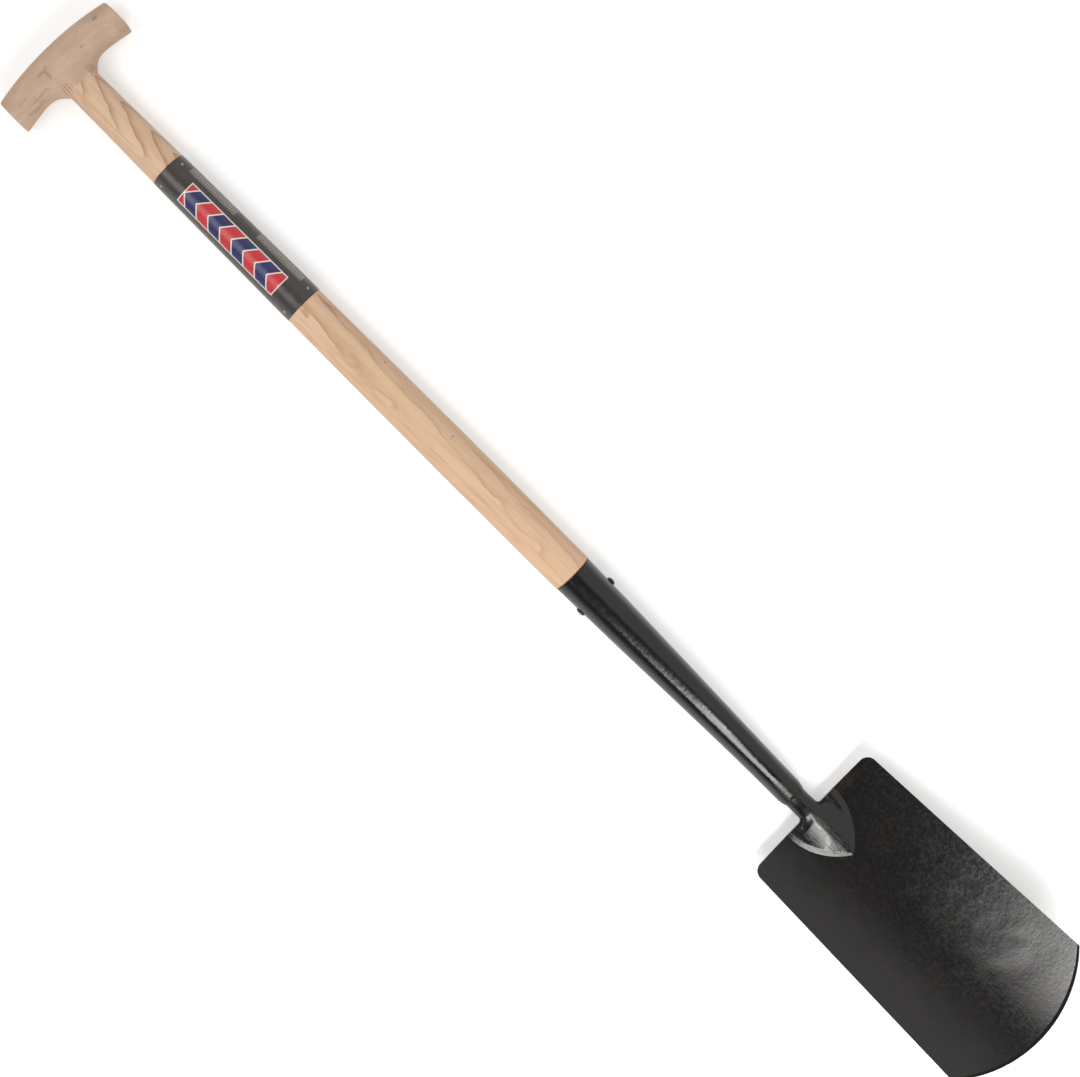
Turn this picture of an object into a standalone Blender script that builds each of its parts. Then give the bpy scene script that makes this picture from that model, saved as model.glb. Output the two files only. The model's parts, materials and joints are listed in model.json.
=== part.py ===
"""Long digging spade with a wooden T-grip, lying on its back with the blade's face up.

Everything is built in the spade's own frame: the shaft's axis is +Y, from the
blade's shoulder at Y = 0 up to the grip, and +Z is the face side. The whole
spade is then lowered onto the plane Z = 0, where it rests on the grip and on
the heel of the head.
"""
from math import atan2, cos, pi, radians, sin, sqrt

import bmesh
import bpy
from mathutils import Matrix, Vector

# Common sizes, in metres
CLEARANCE = 0.0003
QUARTER_SIDES = 8
ROUND_SIDES = 4 * QUARTER_SIDES
SMOOTH_ANGLE = radians(38)

# Blade: a forged plate, dished across and swept along its length
BLADE_LENGTH = 0.2797
BLADE_SIDE_LENGTH = 0.2471
BLADE_TOP_WIDTH = 0.1460
BLADE_BOTTOM_WIDTH = 0.1624
BLADE_THICKNESS = 0.0024
SHOULDER_RADIUS = 0.0090
DISH_RADIUS = 0.45
SWEEP_RADIUS = 2.6
BLADE_CRANK = radians(8.0)
GROUND_WIDTH = 0.0045
GROUND_EDGE = 0.0009

# Frog: the raised gable that carries the neck into the blade's face
FROG_LENGTH = 0.0530
FROG_WIDTH = 0.0600
FROG_OUTLINE_POWER = 0.80
FROG_PAD_HEIGHT = 0.0022
FROG_PAD_FALL = 0.85
FROG_EDGE_WIDTH = 0.0060
RIDGE_FOOT_WIDTH = 0.0440
RIDGE_FOOT_REACH = 0.18
RIDGE_BLEND_REACH = 0.15
RIDGE_FLAT = 0.10
LEAST_EDGE = 0.0005
HEEL_SWELL_LENGTH = 0.0620

# Neck: the round stem of the blade, bent forward above the shoulder
NECK_RISE = -0.0005
NECK_FOOT = 0.0190
NECK_BLEND = 0.0095
NECK_FILLET = 0.0035
NECK_BEND_RADIUS = 0.022
SPIGOT_LENGTH = 0.024

# Socket: a tapered tube, bent back over its lower half
SOCKET_RIM_Y = 0.3015
SOCKET_RIM_RADIUS = 0.0191
SOCKET_END_RADIUS = 0.0129
SOCKET_TAPER = (0.60, 1.55, -1.15)
SOCKET_WALL = 0.0020
SOCKET_BEND_RADIUS = 0.60
SOCKET_BEND = radians(12.0)
SOCKET_EDGE_ROUND = 0.0006

# Weld between the socket's lower end and the neck
WELD_LENGTH = 0.0085
WELD_SHAPE = ((0.0, 1.0), (0.25, 0.92), (0.60, 0.50))

# Rivet across the socket
RIVET_DROP = 0.0285
RIVET_RADIUS = 0.0030
RIVET_SIDES = 20
RIVET_HEAD_RADIUS = 0.0042
RIVET_HEAD_HEIGHT = 0.0025
RIVET_TAIL_RADIUS = 0.0044
RIVET_TAIL_HEIGHT = 0.0016

# Shaft: turned ash, slimmer at the grip
JOINT_Y = 0.8870
SHAFT_TOP_RADIUS = 0.0156
SHAFT_BELLY_RADIUS = 0.0197
SHAFT_BELLY_Y = 0.3900
SHAFT_RIM_RADIUS = 0.01945
FOOT_END_GAP = 0.0060
TENON_RADIUS = 0.0100
TENON_LENGTH = 0.0300
TENON_CHAMFER = 0.0010

# Grip: an arched bar across the top of the shaft
GRIP_WIDTH = 0.1226
GRIP_DEPTH = 0.0340
GRIP_HEIGHT = 0.0321
GRIP_CROWN_Y = 0.9307
GRIP_CROWN_RADIUS = 0.290
GRIP_UNDER_RADIUS = 0.300
GRIP_END_ROUND = 0.0030
GRIP_SQUARENESS = 0.05
GRIP_NECK_RADIUS = 0.0158
GRIP_NECK_FLARE = 1.17
GRIP_NECK_TOP = 0.0035
GRIP_OPENING = 0.0262
GRIP_SMOOTH_ANGLE = radians(80)

# Pin that locks the grip to the tenon, driven in from the back
PIN_RADIUS = 0.0020
PIN_Y = 0.9050
PIN_SINK = 0.0006
PIN_TIP_Z = 0.0070
PIN_SIDES = 12

# Film wrapped round the shaft
LABEL_BOTTOM_Y = 0.6280
LABEL_LENGTH = 0.1610
LABEL_THICKNESS = 0.0003

# Mesh steps
FILLET_STEPS = 3
FROG_COLUMNS = 6
SIDE_COLUMNS = 4
FROG_ROWS = 18
PLATE_ROWS = 5
NECK_STEPS = 5
SPIGOT_STEPS = 2
STRAIGHT_STEPS = 5
BENT_STEPS = 7
DOME_STEPS = 4
BODY_STEPS = 14
FOOT_STEPS = 3
WELD_STEPS = 5
LABEL_STEPS = 4

# Angles and lengths that follow from the sizes above
CAGE_ANGLES = [pi / 4 * k for k in range(8)]
CAGE_SHRINK = (2 + cos(pi / 4)) / 3
NECK_BEND = SOCKET_BEND + BLADE_CRANK
SOCKET_ARC = SOCKET_BEND_RADIUS * SOCKET_BEND
NECK_ARC = NECK_BEND_RADIUS * NECK_BEND
SHOULDER_RUN = SOCKET_ARC + NECK_ARC + NECK_FOOT
BEND_Y = (
    SOCKET_BEND_RADIUS * sin(SOCKET_BEND)
    + NECK_BEND_RADIUS * (sin(SOCKET_BEND) + sin(BLADE_CRANK))
    + NECK_FOOT * cos(BLADE_CRANK)
)
SOCKET_STRAIGHT = SOCKET_RIM_Y - BEND_Y
SOCKET_LENGTH = SOCKET_STRAIGHT + SOCKET_ARC
NECK_RADIUS = SOCKET_END_RADIUS - SOCKET_WALL - CLEARANCE


def clear_scene():
    for item in list(bpy.data.objects):
        bpy.data.objects.remove(item, do_unlink=True)


def make_material(name, colour, roughness, metallic=0.0):
    material = bpy.data.materials.new(name)
    material.use_nodes = True
    shader = material.node_tree.nodes["Principled BSDF"]
    shader.inputs["Base Color"].default_value = (*colour, 1.0)
    shader.inputs["Roughness"].default_value = roughness
    shader.inputs["Metallic"].default_value = metallic
    return material


def finish_object(name, bm, material, parent, angle=SMOOTH_ANGLE):
    """Turn a bmesh into a smooth-shaded object on the spade's frame."""
    bmesh.ops.recalc_face_normals(bm, faces=bm.faces)
    mesh = bpy.data.meshes.new(name)
    bm.to_mesh(mesh)
    bm.free()
    mesh.shade_smooth()
    mesh.set_sharp_from_angle(angle=angle)
    mesh.materials.append(material)
    item = bpy.data.objects.new(name, mesh)
    bpy.context.collection.objects.link(item)
    item.parent = parent
    return item


def ring(centre, across, up, radius, sides=ROUND_SIDES):
    points = []
    for step in range(sides):
        angle = 2 * pi * step / sides
        points.append(centre + across * (radius * cos(angle)) + up * (radius * sin(angle)))
    return points


def skin_rings(bm, lower, upper):
    """Band of faces between two equal rings of points."""
    sides = len(lower)
    for i in range(sides):
        j = (i + 1) % sides
        bm.faces.new((lower[i], lower[j], upper[j], upper[i]))


def loft(rings, closed=False):
    """Skin a list of equal rings, with flat caps or joined end to end."""
    bm = bmesh.new()
    rows = [[bm.verts.new(point) for point in points] for points in rings]
    pairs = list(zip(rows, rows[1:]))
    if closed:
        pairs.append((rows[-1], rows[0]))
    for lower, upper in pairs:
        skin_rings(bm, lower, upper)
    if not closed:
        bm.faces.new(rows[0])
        bm.faces.new(rows[-1])
    return bm


def turned(profile, axis, across, sides=ROUND_SIDES, closed=False):
    """Revolve (radius, height) pairs about an axis through the origin."""
    up = axis.cross(across)
    rings = [ring(axis * height, across, up, radius, sides) for radius, height in profile]
    return loft(rings, closed)


def hide_cutter(cutter):
    cutter.hide_render = True
    cutter.display_type = "WIRE"


def cut(item, cutter):
    modifier = item.modifiers.new("cut_" + cutter.name, "BOOLEAN")
    modifier.operation = "DIFFERENCE"
    modifier.solver = "EXACT"
    modifier.object = cutter


def ease(value):
    value = min(max(value, 0.0), 1.0)
    return value * value * (3 - 2 * value)


def head_frame(run):
    """Centre and tilt of the head's axis, measured down from where the socket bends."""
    if run <= 0:
        return Vector((0, BEND_Y - run, 0)), 0.0
    tilt = min(run, SOCKET_ARC) / SOCKET_BEND_RADIUS
    y = BEND_Y - SOCKET_BEND_RADIUS * sin(tilt)
    z = -SOCKET_BEND_RADIUS * (1 - cos(tilt))
    if run > SOCKET_ARC:
        tilt = SOCKET_BEND - min(run - SOCKET_ARC, NECK_ARC) / NECK_BEND_RADIUS
        y += NECK_BEND_RADIUS * (sin(tilt) - sin(SOCKET_BEND))
        z -= NECK_BEND_RADIUS * (cos(tilt) - cos(SOCKET_BEND))
    straight = max(run - SOCKET_ARC - NECK_ARC, 0.0)
    y -= straight * cos(tilt)
    z -= straight * sin(tilt)
    return Vector((0, y, z)), tilt


def head_ring(run, radius):
    centre, tilt = head_frame(run)
    return ring(centre, Vector((1, 0, 0)), Vector((0, -sin(tilt), cos(tilt))), radius)


def socket_outer_radius(run):
    """Cubic taper from the rim down to the weld, steepest at mid-length."""
    share = (run + SOCKET_STRAIGHT) / SOCKET_LENGTH
    share = min(max(share, 0.0), 1.0)
    drop = sum(factor * share ** (power + 1) for power, factor in enumerate(SOCKET_TAPER))
    drop /= sum(SOCKET_TAPER)
    return SOCKET_RIM_RADIUS - (SOCKET_RIM_RADIUS - SOCKET_END_RADIUS) * drop


def socket_inner_radius(run):
    return socket_outer_radius(run) - SOCKET_WALL


def blade_matrix():
    """Blade's frame: origin on the plate at the shoulder, -Y down the blade, +Z out of its face."""
    centre, _ = head_frame(SHOULDER_RUN)
    turn = Matrix.Rotation(-BLADE_CRANK, 4, "X")
    origin = centre - (turn @ Vector((0, 0, NECK_RISE)))
    return Matrix.Translation(origin) @ turn


def blade_columns():
    """Top ends (x, v) of the mesh columns from the centre to the right corner, v down the blade."""
    columns = []
    for k in range(QUARTER_SIDES + 1):
        columns.append((NECK_RADIUS * sin(pi / 2 * k / QUARTER_SIDES), -NECK_FILLET))
    for k in range(1, FILLET_STEPS + 1):
        angle = pi / 2 * k / FILLET_STEPS
        columns.append((NECK_RADIUS + NECK_FILLET * (1 - cos(angle)), NECK_FILLET * (sin(angle) - 1)))
    fillet_end = NECK_RADIUS + NECK_FILLET
    frog_end = FROG_WIDTH / 2 + FROG_EDGE_WIDTH / 2
    corner_start = BLADE_TOP_WIDTH / 2 - SHOULDER_RADIUS
    for k in range(1, FROG_COLUMNS + 1):
        columns.append((fillet_end + (frog_end - fillet_end) * k / FROG_COLUMNS, 0.0))
    for k in range(1, SIDE_COLUMNS):
        columns.append((frog_end + (corner_start - frog_end) * k / SIDE_COLUMNS, 0.0))
    for k in range(FILLET_STEPS + 1):
        angle = pi / 2 * k / FILLET_STEPS
        x = corner_start + SHOULDER_RADIUS * sin(angle)
        columns.append((x, SHOULDER_RADIUS * (1 - cos(angle))))
    return columns


def blade_rows():
    """Distances down the blade's centre line: close together over the frog, wider below."""
    start = -NECK_FILLET
    frog_end = FROG_LENGTH + FROG_EDGE_WIDTH
    ground_start = BLADE_LENGTH - GROUND_WIDTH
    rows = [start + (frog_end - start) * k / FROG_ROWS for k in range(FROG_ROWS)]
    rows += [frog_end + (ground_start - frog_end) * k / PLATE_ROWS for k in range(PLATE_ROWS + 1)]
    rows.append(BLADE_LENGTH)
    return rows


def cutting_edge(x):
    """Distance of the arched lower edge from the shoulder line."""
    half = BLADE_BOTTOM_WIDTH / 2
    rise = BLADE_LENGTH - BLADE_SIDE_LENGTH
    radius = (half * half + rise * rise) / (2 * rise)
    return BLADE_LENGTH - radius + sqrt(radius * radius - x * x)


def frog_height(x, v):
    """Pad with a stepped edge, and on it the ridge that runs out from the neck to a point."""
    share = min(max(v, 0.0) / FROG_LENGTH, 1.0)
    half = FROG_WIDTH / 2 * (1 - share * share) ** FROG_OUTLINE_POWER
    edge = max(min(FROG_EDGE_WIDTH, half), LEAST_EDGE)
    pad = FROG_PAD_HEIGHT * (1 - FROG_PAD_FALL * share * share) * ease((half - abs(x)) / edge)
    foot = NECK_RADIUS + (RIDGE_FOOT_WIDTH / 2 - NECK_RADIUS) * ease(share / RIDGE_FOOT_REACH)
    foot = max(min(foot, half), LEAST_EDGE)
    across = min(abs(x) / foot, 1.0)
    round_top = sqrt(1 - across * across)
    flank = 1 - ease((across - RIDGE_FLAT) / (1 - RIDGE_FLAT))
    blend = ease(share / RIDGE_BLEND_REACH)
    height = NECK_RISE + NECK_RADIUS - BLADE_THICKNESS / 2 - FROG_PAD_HEIGHT
    ridge = height * (1 - share) * (round_top + (flank - round_top) * blend)
    return pad + ridge


def heel_swell(x, v):
    """The neck's back half, fading into the back of the plate."""
    fade = 1 - ease(max(v, 0.0) / HEEL_SWELL_LENGTH)
    depth = sqrt(max(NECK_RADIUS ** 2 - x * x, 0.0)) - NECK_RISE - BLADE_THICKNESS / 2
    return max(depth, 0.0) * fade


def blade_point(x, v, ground, side):
    bowl = x * x / (2 * DISH_RADIUS) + max(v, 0.0) ** 2 / (2 * SWEEP_RADIUS)
    half = BLADE_THICKNESS / 2
    if side > 0:
        z = bowl + half + frog_height(x, v) - (BLADE_THICKNESS - GROUND_EDGE) * ground
    else:
        z = bowl - half - heel_swell(x, v)
    return Vector((x, -v, z))


def blade_skins(bm, columns, rows):
    """Grids of points over the face and the back, column by column."""
    span = rows[-1] - rows[0]
    skins = ([], [])
    for x_top, v_top in columns:
        x_low = x_top * BLADE_BOTTOM_WIDTH / BLADE_TOP_WIDTH
        v_low = cutting_edge(x_low)
        for skin, side in zip(skins, (1, -1)):
            line = []
            for row in rows:
                share = (row - rows[0]) / span
                ground = 1.0 if row == rows[-1] else 0.0
                x = x_top + (x_low - x_top) * share
                v = v_top + (v_low - v_top) * share
                line.append(bm.verts.new(blade_point(x, v, ground, side)))
            skin.append(line)
    return skins


def close_plate(bm, face, back, first, final):
    """Faces of the plate: both skins, the lower and side edges and the top edge beside the neck."""
    columns = len(face)
    last = len(face[0]) - 1
    for c in range(columns - 1):
        for j in range(last):
            bm.faces.new((face[c][j], face[c + 1][j], face[c + 1][j + 1], face[c][j + 1]))
            bm.faces.new((back[c][j], back[c][j + 1], back[c + 1][j + 1], back[c + 1][j]))
        bm.faces.new((face[c][last], face[c + 1][last], back[c + 1][last], back[c][last]))
        if c < first or c >= final:
            bm.faces.new((face[c][0], back[c][0], back[c + 1][0], face[c + 1][0]))
    for c in (0, columns - 1):
        for j in range(last):
            bm.faces.new((face[c][j], face[c][j + 1], back[c][j + 1], back[c][j]))


def add_stem(bm, to_blade):
    """Bent neck and the spigot above it. Gives back the neck's lowest ring."""
    runs = [SHOULDER_RUN - NECK_BLEND]
    runs += [SOCKET_ARC + NECK_ARC * k / NECK_STEPS for k in range(NECK_STEPS, 0, -1)]
    runs += [SOCKET_ARC - SPIGOT_LENGTH * k / SPIGOT_STEPS for k in range(SPIGOT_STEPS + 1)]
    stem = []
    for run in runs:
        stem.append([bm.verts.new(to_blade @ point) for point in head_ring(run, NECK_RADIUS)])
    for lower, upper in zip(stem, stem[1:]):
        skin_rings(bm, lower, upper)
    bm.faces.new(stem[-1])
    return stem[0]


def join_stem(bm, foot, face, back, first, final):
    """Carry the neck's lowest ring into the top of both skins."""
    for k in range(2 * QUARTER_SIDES):
        a = final - k
        b = a - 1
        bm.faces.new((foot[k], foot[k + 1], face[b][0], face[a][0]))
        low_a = foot[-k % ROUND_SIDES]
        low_b = foot[-(k + 1) % ROUND_SIDES]
        bm.faces.new((low_a, back[a][0], back[b][0], low_b))
    bm.faces.new((foot[0], face[final][0], back[final][0]))
    bm.faces.new((foot[2 * QUARTER_SIDES], back[first][0], face[first][0]))


def make_blade(material, parent):
    """Plate, frog, neck and spigot as one forging."""
    place = blade_matrix()
    right = blade_columns()
    columns = [(-x, v) for x, v in reversed(right[1:])] + right
    first = len(right) - 1 - QUARTER_SIDES
    final = len(right) - 1 + QUARTER_SIDES
    bm = bmesh.new()
    face, back = blade_skins(bm, columns, blade_rows())
    close_plate(bm, face, back, first, final)
    foot = add_stem(bm, place.inverted())
    join_stem(bm, foot, face, back, first, final)
    blade = finish_object("blade", bm, material, parent)
    blade.location = place.to_translation()
    blade.rotation_euler = place.to_euler()
    return blade


def make_socket(material, parent):
    """Tapered tube, open at both ends, its lower half bent back, with rounded outer edges."""
    rim = -SOCKET_STRAIGHT
    runs = [rim + SOCKET_STRAIGHT * k / STRAIGHT_STEPS for k in range(STRAIGHT_STEPS)]
    runs += [SOCKET_ARC * k / BENT_STEPS for k in range(BENT_STEPS + 1)]
    inner = [head_ring(run, socket_inner_radius(run)) for run in reversed(runs)]
    runs[0] += SOCKET_EDGE_ROUND
    runs[-1] -= SOCKET_EDGE_ROUND
    outer = [head_ring(run, socket_outer_radius(run)) for run in runs]
    outer.insert(0, head_ring(rim, socket_outer_radius(rim) - SOCKET_EDGE_ROUND))
    outer.append(head_ring(SOCKET_ARC, SOCKET_END_RADIUS - SOCKET_EDGE_ROUND))
    return finish_object("socket", loft(outer + inner, closed=True), material, parent)


def make_weld(material, parent):
    """Bead in the corner between the socket's end and the neck."""
    start = SOCKET_ARC + CLEARANCE
    inside = NECK_RADIUS + CLEARANCE
    height = SOCKET_END_RADIUS - SOCKET_EDGE_ROUND - inside
    outer = [head_ring(start + along * WELD_LENGTH, inside + out * height) for along, out in WELD_SHAPE]
    inner = [head_ring(start + WELD_LENGTH * k / WELD_STEPS, inside) for k in range(WELD_STEPS, -1, -1)]
    return finish_object("neck_weld", loft(outer + inner, closed=True), material, parent)


def dome(radius, height, seat):
    """Profile pairs of a rivet head, from its rim to just short of its middle."""
    pairs = []
    for k in range(DOME_STEPS):
        angle = pi / 2 * k / DOME_STEPS
        pairs.append((radius * cos(angle), seat + height * sin(angle)))
    return pairs


def make_rivet(material, parent):
    """Cross rivet: a domed head on one side, a flatter closed head on the other."""
    seat = socket_outer_radius(RIVET_DROP - SOCKET_STRAIGHT) + CLEARANCE
    tail = dome(RIVET_TAIL_RADIUS, RIVET_TAIL_HEIGHT, seat)
    profile = [(radius, -reach) for radius, reach in reversed(tail)]
    profile += [(RIVET_RADIUS, -seat), (RIVET_RADIUS, seat)]
    profile += dome(RIVET_HEAD_RADIUS, RIVET_HEAD_HEIGHT, seat)
    bm = turned(profile, Vector((1, 0, 0)), Vector((0, 0, 1)), sides=RIVET_SIDES)
    rivet = finish_object("socket_rivet", bm, material, parent)
    rivet.location = (0, SOCKET_RIM_Y - RIVET_DROP, 0)
    return rivet


def shaft_radius(y):
    """Slim at the grip, fullest at the belly, a little slimmer again at the socket's rim."""
    if y >= SHAFT_BELLY_Y:
        share = (JOINT_Y - y) / (JOINT_Y - SHAFT_BELLY_Y)
        return SHAFT_TOP_RADIUS + (SHAFT_BELLY_RADIUS - SHAFT_TOP_RADIUS) * sin(pi / 2 * share)
    share = (SHAFT_BELLY_Y - y) / (SHAFT_BELLY_Y - SOCKET_RIM_Y)
    return SHAFT_BELLY_RADIUS + (SHAFT_RIM_RADIUS - SHAFT_BELLY_RADIUS) * ease(share)


def make_shaft(material, parent):
    """Tenon, tapered body, shoulder at the socket's rim and the tapered foot inside the socket."""
    top = JOINT_Y - CLEARANCE
    tenon_top = JOINT_Y + TENON_LENGTH
    rim = SOCKET_RIM_Y + CLEARANCE
    foot_end = BEND_Y + FOOT_END_GAP
    profile = [(TENON_RADIUS - TENON_CHAMFER, tenon_top)]
    profile.append((TENON_RADIUS, tenon_top - TENON_CHAMFER))
    profile.append((TENON_RADIUS, top))
    for k in range(BODY_STEPS + 1):
        y = top + (rim - top) * k / BODY_STEPS
        profile.append((shaft_radius(y), y))
    for k in range(FOOT_STEPS + 1):
        y = rim + (foot_end - rim) * k / FOOT_STEPS
        profile.append((socket_inner_radius(BEND_Y - y) - CLEARANCE, y))
    bm = turned(profile, Vector((0, 1, 0)), Vector((1, 0, 0)))
    return finish_object("shaft", bm, material, parent)


def make_label(material, parent):
    """Film sleeve that follows the shaft's taper."""
    heights = [LABEL_BOTTOM_Y + LABEL_LENGTH * k / LABEL_STEPS for k in range(LABEL_STEPS + 1)]
    outer = [(shaft_radius(y) + CLEARANCE + LABEL_THICKNESS, y) for y in heights]
    inner = [(shaft_radius(y) + CLEARANCE, y) for y in reversed(heights)]
    bm = turned(outer + inner, Vector((0, 1, 0)), Vector((1, 0, 0)), closed=True)
    return finish_object("label_sleeve", bm, material, parent)


def grip_section(x, scale=1.0):
    """Control points round the bar at station x, drawn larger because smoothing shrinks them."""
    crown = GRIP_CROWN_Y - GRIP_CROWN_RADIUS + sqrt(GRIP_CROWN_RADIUS ** 2 - x * x)
    under = GRIP_CROWN_Y - GRIP_HEIGHT - GRIP_UNDER_RADIUS + sqrt(GRIP_UNDER_RADIUS ** 2 - x * x)
    points = []
    for angle in CAGE_ANGLES:
        reach = 0.5 * scale / CAGE_SHRINK * (1 + GRIP_SQUARENESS * abs(sin(2 * angle)))
        y = 0.5 * (crown + under) + (crown - under) * reach * cos(angle)
        points.append(Vector((x, y - JOINT_Y, GRIP_DEPTH * reach * sin(angle))))
    return points


def grip_bar(bm):
    """Cage of the bar with an opening under its middle. Gives back the opening's rim."""
    half = GRIP_WIDTH / 2
    right = [half, half - GRIP_END_ROUND, 0.5 * (half + GRIP_OPENING), GRIP_OPENING]
    stations = right + [0.0] + [-x for x in reversed(right)]
    rows = [[bm.verts.new(point) for point in grip_section(x)] for x in stations]
    middle = len(right)
    low = len(CAGE_ANGLES) // 2
    for s, (near, far) in enumerate(zip(rows, rows[1:])):
        for k in range(len(near)):
            if s in (middle - 1, middle) and k in (low - 1, low):
                continue
            j = (k + 1) % len(near)
            bm.faces.new((near[k], near[j], far[j], far[k]))
    for row, x in ((rows[0], half), (rows[-1], -half)):
        inset = [bm.verts.new(point) for point in grip_section(x, 1 - 2 * GRIP_END_ROUND / GRIP_HEIGHT)]
        skin_rings(bm, row, inset)
        bm.faces.new(inset)
    right_rim, middle_rim, left_rim = rows[middle - 1:middle + 2]
    rim = [right_rim[low - 1], middle_rim[low - 1], left_rim[low - 1], left_rim[low]]
    return rim + [left_rim[low + 1], middle_rim[low + 1], right_rim[low + 1], right_rim[low]]


def grip_neck(bm, rim):
    """Round neck drawn down from the opening to the joint, its lower edge kept crisp."""
    lower = rim
    reach = GRIP_NECK_RADIUS / CAGE_SHRINK
    for flare, height in ((GRIP_NECK_FLARE, GRIP_NECK_TOP), (1.0, 0.0)):
        circle = []
        for k in range(len(rim)):
            angle = pi / 4 * (1 + k)
            circle.append(bm.verts.new((reach * flare * cos(angle), height, reach * sin(angle))))
        skin_rings(bm, lower, circle)
        lower = circle
    bm.faces.new(lower)
    crease = bm.edges.layers.float.new("crease_edge")
    for near, far in zip(lower, lower[1:] + lower[:1]):
        bm.edges.get((near, far))[crease] = 1.0


def make_grip(material, parent, bore, pin_hole):
    """Arched bar with a round neck drawn out of its underside, smoothed from a coarse cage."""
    bm = bmesh.new()
    grip_neck(bm, grip_bar(bm))
    grip = finish_object("t_grip", bm, material, parent, GRIP_SMOOTH_ANGLE)
    grip.location = (0, JOINT_Y, 0)
    smooth = grip.modifiers.new("smooth", "SUBSURF")
    smooth.levels = 2
    smooth.render_levels = 2
    cut(grip, bore)
    cut(grip, pin_hole)
    return grip


def make_pin(material, parent):
    low = -(GRIP_DEPTH / 2 - PIN_SINK)
    profile = [
        (PIN_RADIUS, low),
        (PIN_RADIUS, PIN_TIP_Z - PIN_RADIUS),
        (0.5 * PIN_RADIUS, PIN_TIP_Z),
    ]
    bm = turned(profile, Vector((0, 0, 1)), Vector((1, 0, 0)), sides=PIN_SIDES)
    pin = finish_object("grip_pin", bm, material, parent)
    pin.location = (0, PIN_Y, 0)
    return pin


def make_cutters(material, parent):
    """Bore for the tenon, hole for the pin and hole for the rivet."""
    joint = [(TENON_RADIUS + CLEARANCE, -TENON_CHAMFER)]
    joint.append((TENON_RADIUS + CLEARANCE, TENON_LENGTH + CLEARANCE))
    bm = turned(joint, Vector((0, 1, 0)), Vector((1, 0, 0)))
    bore = finish_object("bore_cutter", bm, material, parent)
    bore.location = (0, JOINT_Y, 0)

    hole = [(PIN_RADIUS + CLEARANCE, -GRIP_DEPTH), (PIN_RADIUS + CLEARANCE, PIN_TIP_Z + CLEARANCE)]
    bm = turned(hole, Vector((0, 0, 1)), Vector((1, 0, 0)), sides=PIN_SIDES)
    pin_hole = finish_object("pin_cutter", bm, material, parent)
    pin_hole.location = (0, PIN_Y, 0)

    reach = 2 * SOCKET_RIM_RADIUS
    across = [(RIVET_RADIUS + CLEARANCE, -reach), (RIVET_RADIUS + CLEARANCE, reach)]
    bm = turned(across, Vector((1, 0, 0)), Vector((0, 0, 1)), sides=RIVET_SIDES)
    rivet_hole = finish_object("rivet_cutter", bm, material, parent)
    rivet_hole.location = (0, SOCKET_RIM_Y - RIVET_DROP, 0)

    for cutter in (bore, pin_hole, rivet_hole):
        hide_cutter(cutter)
    return bore, pin_hole, rivet_hole


def world_points(items):
    bpy.context.view_layer.update()
    depsgraph = bpy.context.evaluated_depsgraph_get()
    points = []
    for item in items:
        solid = item.evaluated_get(depsgraph)
        points += [solid.matrix_world @ vert.co for vert in solid.data.vertices]
    return points


def lie_on_back(spade, grip, pieces):
    """Tip the spade about the grip's back until the head touches the floor, then centre it."""
    back = min(world_points([grip]), key=lambda p: p.z)
    slopes = [(p.z - back.z) / (back.y - p.y) for p in world_points(pieces) if p.y < JOINT_Y / 2]
    spade.rotation_euler.x = atan2(min(slopes), 1.0)
    points = world_points(pieces)
    middle = 0.5 * (min(p.y for p in points) + max(p.y for p in points))
    spade.location = (0, -middle, -min(p.z for p in points))


def main():
    clear_scene()
    ash = make_material("ash", (0.60, 0.40, 0.24), 0.55)
    grip_wood = make_material("grip_wood", (0.52, 0.36, 0.25), 0.6)
    coating = make_material("black_coating", (0.022, 0.021, 0.020), 0.42)
    film = make_material("label_film", (0.055, 0.050, 0.046), 0.25)
    steel = make_material("bright_steel", (0.55, 0.55, 0.56), 0.35, 1.0)

    spade = bpy.data.objects.new("spade", None)
    bpy.context.collection.objects.link(spade)
    bore, pin_hole, rivet_hole = make_cutters(steel, spade)

    grip = make_grip(grip_wood, spade, bore, pin_hole)
    shaft = make_shaft(ash, spade)
    cut(shaft, pin_hole)
    cut(shaft, rivet_hole)
    socket = make_socket(coating, spade)
    cut(socket, rivet_hole)
    pieces = [grip, shaft, socket]
    pieces.append(make_label(film, spade))
    pieces.append(make_pin(steel, spade))
    pieces.append(make_rivet(coating, spade))
    pieces.append(make_weld(coating, spade))
    pieces.append(make_blade(coating, spade))
    lie_on_back(spade, grip, pieces)


main()
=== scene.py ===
"""Looks of the long digging spade: finer shapes, wood grain, film and black coating."""

import json
from math import cos, pi, radians, sin, sqrt

import bmesh
import bpy
from mathutils import Matrix, Vector, noise

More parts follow.
